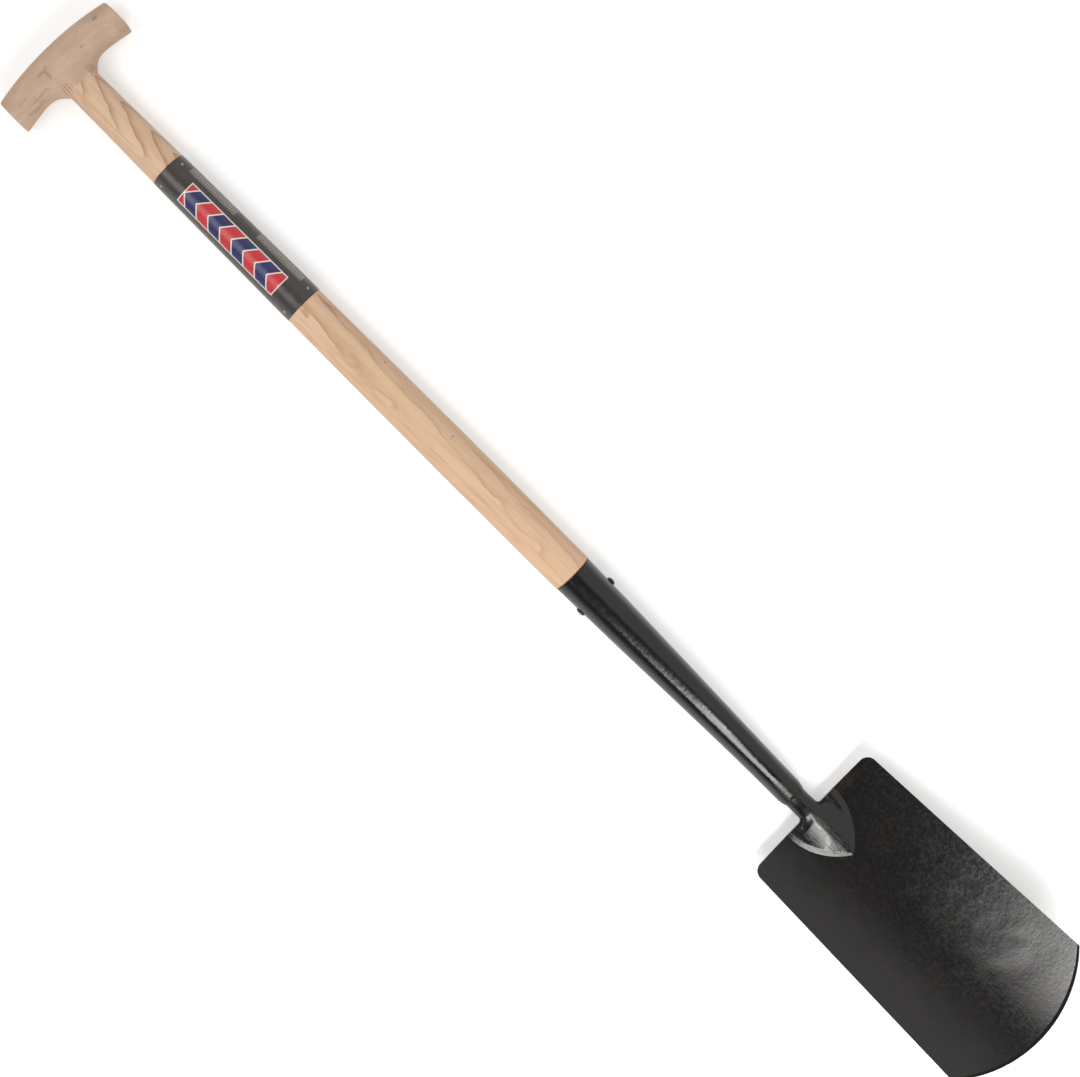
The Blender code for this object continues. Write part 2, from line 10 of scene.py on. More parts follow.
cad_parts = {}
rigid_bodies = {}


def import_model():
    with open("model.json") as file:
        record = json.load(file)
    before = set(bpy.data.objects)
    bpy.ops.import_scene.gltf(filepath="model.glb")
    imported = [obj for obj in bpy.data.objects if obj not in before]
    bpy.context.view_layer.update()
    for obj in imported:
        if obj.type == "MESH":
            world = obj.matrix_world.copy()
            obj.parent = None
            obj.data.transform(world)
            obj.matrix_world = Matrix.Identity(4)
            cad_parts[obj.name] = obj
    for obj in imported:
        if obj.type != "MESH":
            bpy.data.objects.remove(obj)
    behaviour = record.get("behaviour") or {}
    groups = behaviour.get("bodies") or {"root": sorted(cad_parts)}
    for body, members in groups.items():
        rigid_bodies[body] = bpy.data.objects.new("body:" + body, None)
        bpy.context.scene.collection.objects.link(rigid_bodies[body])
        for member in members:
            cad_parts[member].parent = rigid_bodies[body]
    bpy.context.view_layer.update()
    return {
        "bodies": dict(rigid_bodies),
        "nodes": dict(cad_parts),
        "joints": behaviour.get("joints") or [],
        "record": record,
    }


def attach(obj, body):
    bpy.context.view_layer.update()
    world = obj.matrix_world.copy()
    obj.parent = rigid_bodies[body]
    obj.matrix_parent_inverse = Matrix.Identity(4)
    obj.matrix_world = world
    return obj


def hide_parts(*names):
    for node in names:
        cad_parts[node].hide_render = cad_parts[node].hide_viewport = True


# Place of the spade's own frame in the model: shaft's axis +Y, blade's shoulder at Y = 0, face up
REST_TILT = -0.009528101
REST_PLACE = Vector((0.0, -0.3279534, 0.02593228))
REST = Matrix.Translation(REST_PLACE) @ Matrix.Rotation(REST_TILT, 4, "X")

# Sizes of the solids, in metres
CLEARANCE = 0.0003
BLADE_LENGTH = 0.2797
BLADE_SIDE_LENGTH = 0.2471
BLADE_TOP_WIDTH = 0.1460
BLADE_BOTTOM_WIDTH = 0.1624
BLADE_THICKNESS = 0.0024
SHOULDER_RADIUS = 0.0090
DISH_RADIUS = 0.45
SWEEP_RADIUS = 2.6
BLADE_CRANK = radians(8.0)
GROUND_EDGE = 0.0009
FROG_LENGTH = 0.0530
FROG_WIDTH = 0.0600
FROG_OUTLINE_POWER = 0.80
FROG_PAD_HEIGHT = 0.0022
FROG_PAD_FALL = 0.85
RIDGE_FOOT_REACH = 0.18
RIDGE_BLEND_REACH = 0.15
RIDGE_FLAT = 0.10
LEAST_EDGE = 0.0005
HEEL_SWELL_LENGTH = 0.0620
NECK_RISE = -0.0005
NECK_FOOT = 0.0190
NECK_BLEND = 0.0095
NECK_FILLET = 0.0035
NECK_BEND_RADIUS = 0.022
SPIGOT_LENGTH = 0.024
SOCKET_RIM_Y = 0.3015
SOCKET_RIM_RADIUS = 0.0191
SOCKET_END_RADIUS = 0.0129
SOCKET_TAPER = (0.60, 1.55, -1.15)
SOCKET_WALL = 0.0020
SOCKET_BEND_RADIUS = 0.60
SOCKET_BEND = radians(12.0)
SOCKET_EDGE_ROUND = 0.0006
WELD_LENGTH = 0.0085
RIVET_DROP = 0.0285
JOINT_Y = 0.8870
SHAFT_TOP_RADIUS = 0.0156
SHAFT_BELLY_RADIUS = 0.0197
SHAFT_BELLY_Y = 0.3900
SHAFT_RIM_RADIUS = 0.01945
FOOT_END_GAP = 0.0060
TENON_RADIUS = 0.0100
TENON_LENGTH = 0.0300
LABEL_BOTTOM_Y = 0.6280
LABEL_LENGTH = 0.1610
GRIP_WIDTH = 0.1226
GRIP_DEPTH = 0.0340
GRIP_HEIGHT = 0.0321
GRIP_CROWN_Y = 0.9307
GRIP_CROWN_RADIUS = 0.290
GRIP_UNDER_RADIUS = 0.300
GRIP_END_ROUND = 0.0030
GRIP_SQUARENESS = 0.05
GRIP_NECK_TOP = 0.0035
GRIP_OPENING = 0.0262
PIN_Y = 0.9050
PIN_TIP_Z = 0.0070

# Lengths and angles that follow from them
NECK_BEND = SOCKET_BEND + BLADE_CRANK
SOCKET_ARC = SOCKET_BEND_RADIUS * SOCKET_BEND
NECK_ARC = NECK_BEND_RADIUS * NECK_BEND
SHOULDER_RUN = SOCKET_ARC + NECK_ARC + NECK_FOOT
BEND_Y = (
    SOCKET_BEND_RADIUS * sin(SOCKET_BEND)
    + NECK_BEND_RADIUS * (sin(SOCKET_BEND) + sin(BLADE_CRANK))
    + NECK_FOOT * cos(BLADE_CRANK)
)
SOCKET_STRAIGHT = SOCKET_RIM_Y - BEND_Y
SOCKET_LENGTH = SOCKET_STRAIGHT + SOCKET_ARC
NECK_RADIUS = SOCKET_END_RADIUS - SOCKET_WALL - CLEARANCE
CAGE_ANGLES = [pi / 4 * k for k in range(8)]
CAGE_SHRINK = (2 + cos(pi / 4)) / 3
BACK_ANGLE = 1.5 * pi

# Forms of the blade that are finer than in the solids; it thins from THINNING_START downwards
GROUND_WIDTH = 0.0022
THINNING = 0.00070
THINNING_START = 0.100
THINNING_REACH = 0.142
FROG_EDGE_WIDTH = 0.0048
FROG_EDGE_ROUND = 0.18
RIDGE_FOOT_WIDTH = 0.0415
SOFT_EDGE = 0.0005
SOFT_EDGE_STEPS = 3
SOFT_EDGE_ANGLE = radians(50)

# Forged unevenness of the blade: waves per metre, layer of the noise and height of each wave
FORGING_WAVES = ((28, 0.3, 0.00016), (80, 4.1, 0.00005))
FORGING_SIDE_FADE = 0.02
FORGING_END_FADE = 0.03

# Socket: shallow waves round and along it, and the closed seam on its back
SOCKET_WAVES = (1.4, 24)
SOCKET_WAVE_HEIGHT = 0.00010
SOCKET_SKIN_INSET = 0.00009
SEAM_DEPTH = 0.00055
SEAM_HALF_WIDTH = 0.0011

# Weld: gaps to its neighbours, its fall to the neck and its ripples
WELD_GAP = 0.0001
WELD_INSET = 0.0004
WELD_ROOT = 0.0006
WELD_FALL = 1.7
WELD_RIPPLES = 30
WELD_RIPPLE_TWIST = 5.0
WELD_RIPPLE_SWAY = 5
WELD_CREST = 0.93
WELD_RIPPLE_DEPTH = 0.07

# Rivet: radius and height of its domed head and of its flatter closed head
RIVET_HEAD = (0.0042, 0.0025)
RIVET_TAIL = (0.0044, 0.0016)
RIVET_SINK = 0.0006

# Shaft: the unevenness left by sanding, round and along it, and its gaps and chamfers
SANDING_WAVES = (0.9, 16)
SANDING_MIDDLE = 0.3
SANDING_DEPTH = 0.00012
SHAFT_TOP_GAP = 0.0001
TENON_CHAMFER = 0.001
RIM_CHAMFER = (0.0005, 0.0004)
FOOT_INSET = 0.0001
FOOT_SHIFT = 0.00005

# Film: radii beyond the shaft's, waves round and along it, and its lap, whose ends are angles
FILM_INNER = 0.00002
FILM_EDGE = 0.00022
FILM_OUTER = 0.00034
FILM_WAVES = (1.5, 60)
FILM_WAVE_HEIGHT = 0.00004
LAP_STEP = 0.00012
LAP_EDGE = 0.02
LAP_END = 0.34
LAP_FADE = 0.12

# Grip: control sizes of its neck, and the hole of the pin
GRIP_NECK_RADIUS = 0.0157
GRIP_NECK_FLARE = 1.18
PIN_HOLE_RADIUS = 0.0023

# Mesh steps of the finer pieces
SHARP_ANGLE = radians(38)
QUARTER_SIDES = 24
ROUND_SIDES = 4 * QUARTER_SIDES
FINE_SIDES = 2 * ROUND_SIDES
FILLET_STEPS = 8
FROG_COLUMNS = 26
SIDE_COLUMNS = 22
FROG_ROWS = 84
PLATE_ROWS = 90
NECK_STEPS = 16
SOCKET_STEPS = 150
SOCKET_BORE_STRIDE = 10
SOCKET_EDGE_STEPS = 4
WELD_STEPS = 14
RIVET_SIDES = 48
RIVET_STEPS = 12
SHAFT_STEPS = 220
FOOT_STEPS = 6
FILM_STEPS = 60
GRIP_SMOOTHING = 4
PIN_HOLE_SIDES = 32

# Shaft's ash: arched figure (the side it faces, its shape, spacing and sway) and colours
ARCH_SIDE = (0.71, 0.70)
ARCH_ROUND = 0.0015
ARCH_SLOPE = 2.9
ARCH_TOP_Y = 0.8925
ARCH_PITCH = 0.0327
ARCH_CHANGE_Y = 0.70
ARCH_LOWER_RATE = 0.16
ARCH_SWAY = 0.030
ARCH_NEAR = (0.002, 0.009)
ASH_PALE = (0.636, 0.447, 0.315)
ASH_PATCH = (0.586, 0.406, 0.279)
ASH_LOWER = (0.598, 0.406, 0.260)
ASH_BROAD_STREAK = (0.510, 0.335, 0.220)
ASH_THIN_STREAK = (0.450, 0.285, 0.175)
ASH_VEIN = (0.430, 0.262, 0.155)
ASH_LATE_WOOD = (0.440, 0.255, 0.135)
ASH_ARCH_EDGE = (0.330, 0.180, 0.095)
ASH_FINE_STREAK = (0.450, 0.290, 0.185)
ASH_PORES = (0.380, 0.225, 0.130)
ASH_FLECK = (0.200, 0.115, 0.065)
ASH_RIM_BAND = (0.090, 0.040, 0.018)
ASH_LOWER_Y = (0.64, 0.54)
ASH_ROUGHNESS = 0.48
ASH_SPECULAR = 0.35
ASH_RELIEF = 0.00012
RIM_BAND_WIDTH = 0.0004
RIM_BAND_FADE = 0.0016
JOINT_RAGGED = 0.0050
JOINT_RISE = 0.0016
JOINT_SOFT = 0.0009

# Heights between which the marks on a face fade in from its sides
FACE_Z = (0.0, 0.004)

# Dark flecks on the shaft's face: ragged rim, then place (x, y), half sizes and depth of colour
FLECK_RAGGED = 0.002
ASH_FLECKS = (
    ((0.0139, 0.5450), (0.0010, 0.0013), 0.65),
    ((0.0095, 0.4596), (0.0012, 0.0016), 0.60),
    ((0.0062, 0.4588), (0.0007, 0.0010), 0.50),
    ((0.0122, 0.6090), (0.0012, 0.0110), 0.30),
)

# Grip's wood: its pith (y, z) and the spacing, slant and sway of the rings about it, and colours
PITH = (0.885, -0.055)
BAR_Y = 0.915
RING_PITCH = 0.0036
RING_SLANT = 0.030
RING_SWAY = 0.0130
GRIP_PALE = (0.528, 0.377, 0.281)
GRIP_CLOUD = (0.462, 0.322, 0.233)
GRIP_LATE_WOOD = (0.400, 0.262, 0.178)
GRIP_STREAK = (0.400, 0.268, 0.185)
GRIP_SCRATCH = (0.360, 0.240, 0.165)
GRIP_MARK_AND_SHADE_TONE = (0.235, 0.140, 0.085)
GRIP_END_GRAIN = (0.230, 0.135, 0.080)
GRIP_ROUGHNESS = 0.56
GRIP_SPECULAR = 0.25
GRIP_RELIEF = 0.00015

# Dark marks on the grip's face and painted shade on its right end's lower corner: ragged rim, then
# place (x, y), half sizes and depth of colour
MARK_RAGGED = 0.008
GRIP_MARKS_AND_SHADE = (
    ((0.0207, 0.9084), (0.0022, 0.0016), 0.60),
    ((0.0448, 0.9169), (0.0034, 0.0021), 0.60),
    ((-0.0185, 0.9148), (0.0066, 0.0017), 0.48),
    ((-0.0158, 0.9105), (0.0020, 0.0050), 0.48),
    # Painted shade on the rounded lower corner of the bar's right end
    ((0.0570, 0.8985), (0.0070, 0.0060), 0.22),
    ((0.0135, 0.8900), (0.0045, 0.0085), 0.34),
    ((-0.0330, 0.9030), (0.0150, 0.0011), 0.40),
    ((-0.0420, 0.8985), (0.0120, 0.0010), 0.36),
    ((-0.0480, 0.9080), (0.0100, 0.0008), 0.25),
)
END_GRAIN = ((-0.0125, 0.8920), (0.0060, 0.0060))
END_GRAIN_PITCH = 0.0026

# Paint: colours, the brown spot right of the frog, gloss, and where it changes: the rim, tip and
# upper end of the frog's streaks, and the heights along the head at which a stretch begins
PAINT = (0.0085, 0.0080, 0.0077)
PAINT_CLOUD = (0.0068, 0.0065, 0.0063)
PAINT_DUST = (0.045, 0.042, 0.038)
PAINT_BROWN = (0.026, 0.017, 0.012)
BROWN_SPOT = ((0.040, -0.003), (0.013, 0.006))
PAINT_ROUGHNESS = 0.075
PAINT_SPECULAR = 0.5
PAINT_RELIEF = 0.00009
STREAK_RIM = (0.0005, -0.0030)
STREAK_TIP = 0.004
STREAK_TOP = (0.014, 0.002)
SOCKET_FROM = (0.045, 0.065)
NECK_BELOW = (0.052, 0.034)
NECK_ABOVE = (0.010, 0.018)
PLATE_BELOW = (0.002, -0.006)
STEM_FROM = (-0.002, 0.016)

# Film: half sizes of the panel, the pale line round it, chevrons, colours, and the small pale
# dashes and corner dots beside the panel
PANEL_RADIUS = 0.0175
PANEL_SHIFT = 0.0049
PANEL_SIZE = (0.010, 0.055)
PANEL_FRAME = 0.001
PANEL_SOFT = (0.00005, 0.0001)
CHEVRON_SLOPE = 0.8
CHEVRON_PITCH = 0.0275
CHEVRON_START = 8.0
FILM_DARK = ((0.050, 0.043, 0.040), (0.037, 0.032, 0.030))
FILM_RED = ((0.500, 0.040, 0.045), (0.430, 0.030, 0.036))
FILM_NAVY = ((0.030, 0.034, 0.115), (0.022, 0.026, 0.090))
FILM_PALE = (0.62, 0.60, 0.58)
FILM_ROUGHNESS = 0.27
FILM_SPECULAR = 0.5
FILM_RELIEF = 0.00025
TICK_SIZE = (0.0024, 0.0013)
TICK_STRIP = ((0.0205, 0.0390), (0.0042, 0.0260))
DOT_PLACE = ((0.0016, 0.0150), 0.0735)
DOT_SIZE = 0.0010
SIGN_SOFT = 0.0002

# Pin's steel
STEEL = ((0.50, 0.50, 0.51), (0.36, 0.35, 0.35))
STEEL_ROUGHNESS = 0.28
STEEL_RELIEF = 0.00003

# Camera, in the spade's own frame
CAMERA_PLACE = Vector((-0.100, 0.5006, 1.7258))
CAMERA_AIM = Vector((0.0016, 0.3433, 0.0))
CAMERA_REACH = 20.0
FOCAL_PIXELS = 2000.0
IMAGE_WIDTH = 1080
SENSOR_WIDTH = 36.0

# Lamps that face down: name, place in the spade's own frame, size along x and y, radiance.
# The key makes the streak on the socket and lights the frog. The three low ones, left of the
# blade's end, make the sheen that grows towards its lower right corner. The side lamp lights the
# wood from beyond the grip.
LIGHT_COLOUR = (1.0, 0.980, 0.955)
LAMPS = (
    ("key", (-1.02, -0.90, 1.5), (1.18, 1.22), 10.2),
    ("key_end_inner", (-0.225, -0.3025, 1.00), (0.29, 0.185), 6.8),
    ("key_end_middle", (-0.185, -0.280, 1.01), (0.31, 0.18), 4.2),
    ("key_end_outer", (-0.140, -0.2575, 1.02), (0.32, 0.185), 3.2),
    ("side", (-1.05, 1.25, 1.5), (1.20, 1.20), 3.6),
)

# World: strengths, and for each axis of the sky where it is dark and where it is pale
SKY_DARK = 0.06
SKY_PALE = 0.85
SKY_RAMPS = ((0, 0.08, 0.30), (2, 0.35, 0.10), (1, 0.35, 0.60))

# Floor
FLOOR_REACH = 6
FLOOR_Z = -0.0002
FLOOR_COLOUR = (0.72, 0.72, 0.72, 1.0)
FLOOR_ROUGHNESS = 0.9
FLOOR_GLOW = 0.40


# Shaders

class Value:
    """A shader value; ordinary arithmetic on it adds Math nodes."""

    def __init__(self, graph, socket):
        self.graph = graph
        self.socket = socket

    def math(self, operation, *others):
        node = self.graph.tree.nodes.new("ShaderNodeMath")
        node.operation = operation
        for slot, item in zip(node.inputs, (self, *others)):
            self.graph.feed(slot, item)
        return Value(self.graph, node.outputs[0])

    def __add__(self, other):
        return self.math("ADD", other)

    def __sub__(self, other):
        return self.math("SUBTRACT", other)

    def __mul__(self, other):
        return self.math("MULTIPLY", other)

    def __truediv__(self, other):
        return self.math("DIVIDE", other)

    def root(self):
        return self.math("SQRT")

    def size(self):
        return self.math("ABSOLUTE")

    def part(self):
        return self.math("FRACT")

    def power(self, other):
        return self.math("POWER", other)

    def least(self, other):
        return self.math("MINIMUM", other)

    def most(self, other):
        return self.math("MAXIMUM", other)

    def step(self, low, high):
        """0 below low, 1 above high, smooth between; low may be above high."""
        node = self.graph.tree.nodes.new("ShaderNodeMapRange")
        node.interpolation_type = "SMOOTHSTEP"
        for name, item in (("Value", self), ("From Min", low), ("From Max", high)):
            self.graph.feed(node.inputs[name], item)
        return Value(self.graph, node.outputs[0])

    def within(self, half, soft):
        """1 between -half and half, 0 outside, with an edge that is soft by the given amount."""
        return self.size().step(half + soft, half - soft)


class Graph:
    """Node tree of one material with a single Principled shader."""

    def __init__(self, name):
        self.material = bpy.data.materials.new(name)
        self.material.use_nodes = True
        self.tree = self.material.node_tree
        self.shader = self.tree.nodes["Principled BSDF"]

    def feed(self, slot, item):
        if isinstance(item, Value):
            self.tree.links.new(item.socket, slot)
        else:
            slot.default_value = item

    def place(self):
        """x, y, z in the spade's own frame."""
        where = self.tree.nodes.new("ShaderNodeTexCoord")
        mapping = self.tree.nodes.new("ShaderNodeMapping")
        inverse = REST.inverted()
        mapping.inputs["Location"].default_value = inverse.to_translation()
        mapping.inputs["Rotation"].default_value = inverse.to_euler()
        self.tree.links.new(where.outputs["Object"], mapping.inputs["Vector"])
        split = self.tree.nodes.new("ShaderNodeSeparateXYZ")
        self.tree.links.new(mapping.outputs["Vector"], split.inputs[0])
        return [Value(self, split.outputs[k]) for k in range(3)]

    def noise(self, x, y, z, scale, detail=2.0, rough=0.5):
        """Noise from about 0 to 1 at the point (x, y, z)."""
        join = self.tree.nodes.new("ShaderNodeCombineXYZ")
        for slot, item in zip(join.inputs, (x, y, z)):
            self.feed(slot, item)
        node = self.tree.nodes.new("ShaderNodeTexNoise")
        self.tree.links.new(join.outputs[0], node.inputs["Vector"])
        node.inputs["Scale"].default_value = scale
        node.inputs["Detail"].default_value = detail
        node.inputs["Roughness"].default_value = rough
        return Value(self, node.outputs[0])

    def mix(self, factor, low, high):
        """Colour between low and high; each is a colour triple or a Value."""
        node = self.tree.nodes.new("ShaderNodeMix")
        node.data_type = "RGBA"
        self.feed(node.inputs[0], factor)
        for slot, item in ((node.inputs[6], low), (node.inputs[7], high)):
            self.feed(slot, item if isinstance(item, Value) else (*item, 1.0))
        return Value(self, node.outputs[2])

    def layers(self, colour, *pairs):
        """Colour with layers over it, each a factor and the colour that it leads to."""
        for factor, tint in pairs:
            colour = self.mix(factor, colour, tint)
        return colour

    def seen(self):
        """1 for what the camera sees, straight, mirrored or through glass, 0 for what lights."""
        path = self.tree.nodes.new("ShaderNodeLightPath")
        kinds = ("Camera", "Glossy", "Transmission")
        rays = [Value(self, path.outputs["Is " + kind + " Ray"]) for kind in kinds]
        return rays[0].most(rays[1]).most(rays[2])

    def set(self, name, item):
        self.feed(self.shader.inputs[name], item)

    def relief(self, height, distance):
        """Bump from a height of about 0 to 1 that stands for the given distance."""
        node = self.tree.nodes.new("ShaderNodeBump")
        node.inputs["Strength"].default_value = 1.0
        node.inputs["Distance"].default_value = distance
        self.feed(node.inputs["Height"], height)
        self.tree.links.new(node.outputs[0], self.shader.inputs["Normal"])


def ash_figure(g, x, y, z):
    """Colour, relief and late wood of the ash: arches on one side, long streaks and pore lines."""
    sway = g.noise(x, y * 0.5, z, scale=62.0) - 0.5
    across = x * ARCH_SIDE[0] + z * ARCH_SIDE[1]
    beside = x * ARCH_SIDE[1] - z * ARCH_SIDE[0]
    leg = (beside.power(2.0) + ARCH_ROUND ** 2).root() * ARCH_SLOPE
    below = (y.least(ARCH_CHANGE_Y) - ARCH_CHANGE_Y) * ARCH_LOWER_RATE
    run = y.most(ARCH_CHANGE_Y) + below
    arch = ((run * -1.0 + ARCH_TOP_Y - leg + sway * ARCH_SWAY) / ARCH_PITCH).part()
    near = across.step(*ARCH_NEAR)
    late = arch.step(0.55, 0.03) * arch.step(0.0, 0.03) * near
    edge = arch.step(0.19, 0.04) * arch.step(0.0, 0.03) * near
    broad = g.noise(x, y * 0.045, z, scale=130.0, detail=3.0, rough=0.55)
    thin = g.noise(x, y * 0.035, z, scale=330.0).step(0.50, 0.62)
    streak = g.noise(x, y * 0.020, z, scale=620.0, detail=3.0, rough=0.6)
    pores = g.noise(x, y * 0.030, z, scale=1700.0).step(0.58, 0.72)
    patch = g.noise(x, y * 0.12, z, scale=36.0, detail=3.0).step(0.3, 0.7)
    flow = (g.noise(x, y * 0.10, z, scale=70.0) * 8.0).part()
    vein = flow.step(0.30, 0.94) * flow.step(1.0, 0.95) * near.step(0.7, 0.2)
    lower = y.step(*ASH_LOWER_Y)
    strength = g.noise(x, y * 0.5, z, scale=40.0).step(0.25, 0.60) * 0.45 + 0.30
    strength = strength * (lower * -0.5 + 1.0)
    colour = g.layers(
        g.mix(patch, ASH_PALE, ASH_PATCH),
        (lower * 0.7, ASH_LOWER),
        (broad.step(0.46, 0.62) * 0.30, ASH_BROAD_STREAK),
        (thin * (lower * 0.22 + 0.12), ASH_THIN_STREAK),
        (vein * 0.38, ASH_VEIN),
        (late * strength, ASH_LATE_WOOD),
        (edge * strength * 0.80, ASH_ARCH_EDGE),
        (streak.step(0.50, 0.75) * 0.22, ASH_FINE_STREAK),
        (pores * 0.20, ASH_PORES),
    )
    height = streak * 0.6 + late * 0.25 - pores * 0.5
    return colour, height, late


def joint_edge(g, x, y, z):
    """1 on the shaft's side of the wavy line where its wood meets the grip's."""
    ragged = (g.noise(x, y * 0.4, z, scale=300.0, detail=3.0) - 0.5) * JOINT_RAGGED
    return (y - JOINT_Y - JOINT_RISE - ragged).step(JOINT_SOFT, -JOINT_SOFT)


def spot(x, y, place, size):
    """1 in the middle of an oval mark on the face, fading to 0 at its rim."""
    across = ((x - place[0]) / size[0]).power(2.0)
    along = ((y - place[1]) / size[1]).power(2.0)
    return (across + along).step(1.0, 0.25)


def ash_material():
    """Shaft: pale ash with a few dark flecks, and a thin dark band on its edge at the socket."""
    g = Graph("ash_wood")
    x, y, z = g.place()
    colour, height, late = ash_figure(g, x, y, z)
    ragged = (g.noise(x, y, z, scale=400.0) - 0.5) * FLECK_RAGGED
    face = z.step(*FACE_Z)
    for place, size, depth in ASH_FLECKS:
        fleck = spot(x + ragged, y + ragged, place, size) * face * depth
        colour = g.mix(fleck, colour, ASH_FLECK)
    # Thin dark band on the wood just above the socket's rim
    rim_band = y.step(SOCKET_RIM_Y + RIM_BAND_FADE, SOCKET_RIM_Y + RIM_BAND_WIDTH)
    g.set("Base Color", g.mix(rim_band * 0.85, colour, ASH_RIM_BAND))
    g.set("Roughness", late * -0.08 + height * 0.08 + ASH_ROUGHNESS)
    g.set("Specular IOR Level", ASH_SPECULAR)
    g.relief(height, ASH_RELIEF)
    return g.material


def grip_material():
    """Grip: greyish pink sanded wood with mottling, scratches, faint knots and painted shade on the
    lower corner of its right end.
    """
    g = Graph("grip_wood")
    x, y, z = g.place()
    rise = y - BAR_Y
    sway = g.noise(x * 0.3, rise, z, scale=50.0, detail=3.0) - 0.5
    reach = ((rise + (BAR_Y - PITH[0])).power(2.0) + (z - PITH[1]).power(2.0)).root()
    ring = ((reach + x * RING_SLANT + sway * RING_SWAY) / RING_PITCH).part()
    late = ring.step(0.20, 0.92) * ring.step(1.0, 0.93)
    streak = g.noise(x * 0.045, rise, z, scale=900.0, detail=3.0, rough=0.6)
    cloud = g.noise(x * 0.6, rise, z, scale=75.0, detail=4.0, rough=0.6)
    scratch = g.noise(x * 0.16, rise + x * 0.25, z, scale=520.0, detail=1.0).step(0.70, 0.78)
    ash, _, _ = ash_figure(g, x, y, z)
    colour = g.layers(
        g.mix(cloud.step(0.32, 0.68), GRIP_PALE, GRIP_CLOUD),
        (late * 0.16, GRIP_LATE_WOOD),
        (streak.step(0.45, 0.80) * 0.20, GRIP_STREAK),
        (scratch * 0.22, GRIP_SCRATCH),
        (joint_edge(g, x, y, z), ash),
    )
    face = z.step(*FACE_Z)
    ragged = (g.noise(x, y, z, scale=200.0, detail=4.0, rough=0.7) - 0.5) * MARK_RAGGED
    # Dark marks, one of them painted shade on the right end's lower corner
    for place, size, depth in GRIP_MARKS_AND_SHADE:
        mark = spot(x + ragged, y + ragged, place, size) * face * depth
        colour = g.mix(mark, colour, GRIP_MARK_AND_SHADE_TONE)
    dash = ((x + ragged * 0.3) / END_GRAIN_PITCH).part().step(0.50, 0.80)
    end_grain = spot(x, y + ragged, *END_GRAIN) * dash * 0.7
    g.set("Base Color", g.mix(end_grain, colour, GRIP_END_GRAIN))
    g.set("Roughness", streak * 0.12 + GRIP_ROUGHNESS)
    g.set("Specular IOR Level", GRIP_SPECULAR)
    g.relief(streak * 0.7 + late * 0.2 - scratch * 0.4, GRIP_RELIEF)
    return g.material


def frog_mask(x, y):
    """1 on the frog's pointed pad, fading to 0 round its rim and up the neck."""
    half = y * y * (-0.5 * FROG_WIDTH / FROG_LENGTH ** 2) + 0.5 * FROG_WIDTH
    side = (x.size() - half).step(*STREAK_RIM)
    return side * y.step(-FROG_LENGTH, STREAK_TIP - FROG_LENGTH) * y.step(*STREAK_TOP)


def coating_material():
    """Black paint over forged steel: satin, pebbled, dusty, streaked and duller on the frog."""
    g = Graph("black_coating")
    x, y, z = g.place()
    pebble = g.noise(x, y, z, scale=300.0, rough=0.6)
    fine = g.noise(x, y, z, scale=1500.0, rough=0.6)
    cloud = g.noise(x, y, z, scale=28.0, detail=3.0)
    speck = g.noise(x, y, z, scale=900.0, detail=1.0).step(0.66, 0.78)
    brush = g.noise(x, y * 0.10, z, scale=330.0, detail=3.0, rough=0.6)
    colour = g.layers(
        g.mix(cloud.step(0.3, 0.7), PAINT, PAINT_CLOUD),
        (speck * 0.35, PAINT_DUST),
        (spot(x, y, *BROWN_SPOT) * pebble, PAINT_BROWN),
    )
    frog = frog_mask(x, y)
    neck = y.step(*NECK_BELOW) * y.step(*NECK_ABOVE)
    plate = (frog * -1.0 + 1.0) * y.step(*PLATE_BELOW)
    dull = y.step(*SOCKET_FROM) * 0.05 + neck * 0.16
    dull = dull + frog * (brush.step(0.42, 0.64) * 0.16 + 0.04) + plate * 0.02
    stem = y.step(*STEM_FROM)
    pebbling = pebble * (stem * 0.7 + 0.45) + fine * 0.05
    g.set("Base Color", colour)
    g.set("Roughness", dull + fine * 0.06 + pebble.step(0.42, 0.62) * 0.05 + PAINT_ROUGHNESS)
    g.set("Specular IOR Level", PAINT_SPECULAR)
    g.relief(pebbling + brush * (frog * 1.6 + stem * 0.6), PAINT_RELIEF)
    return g.material


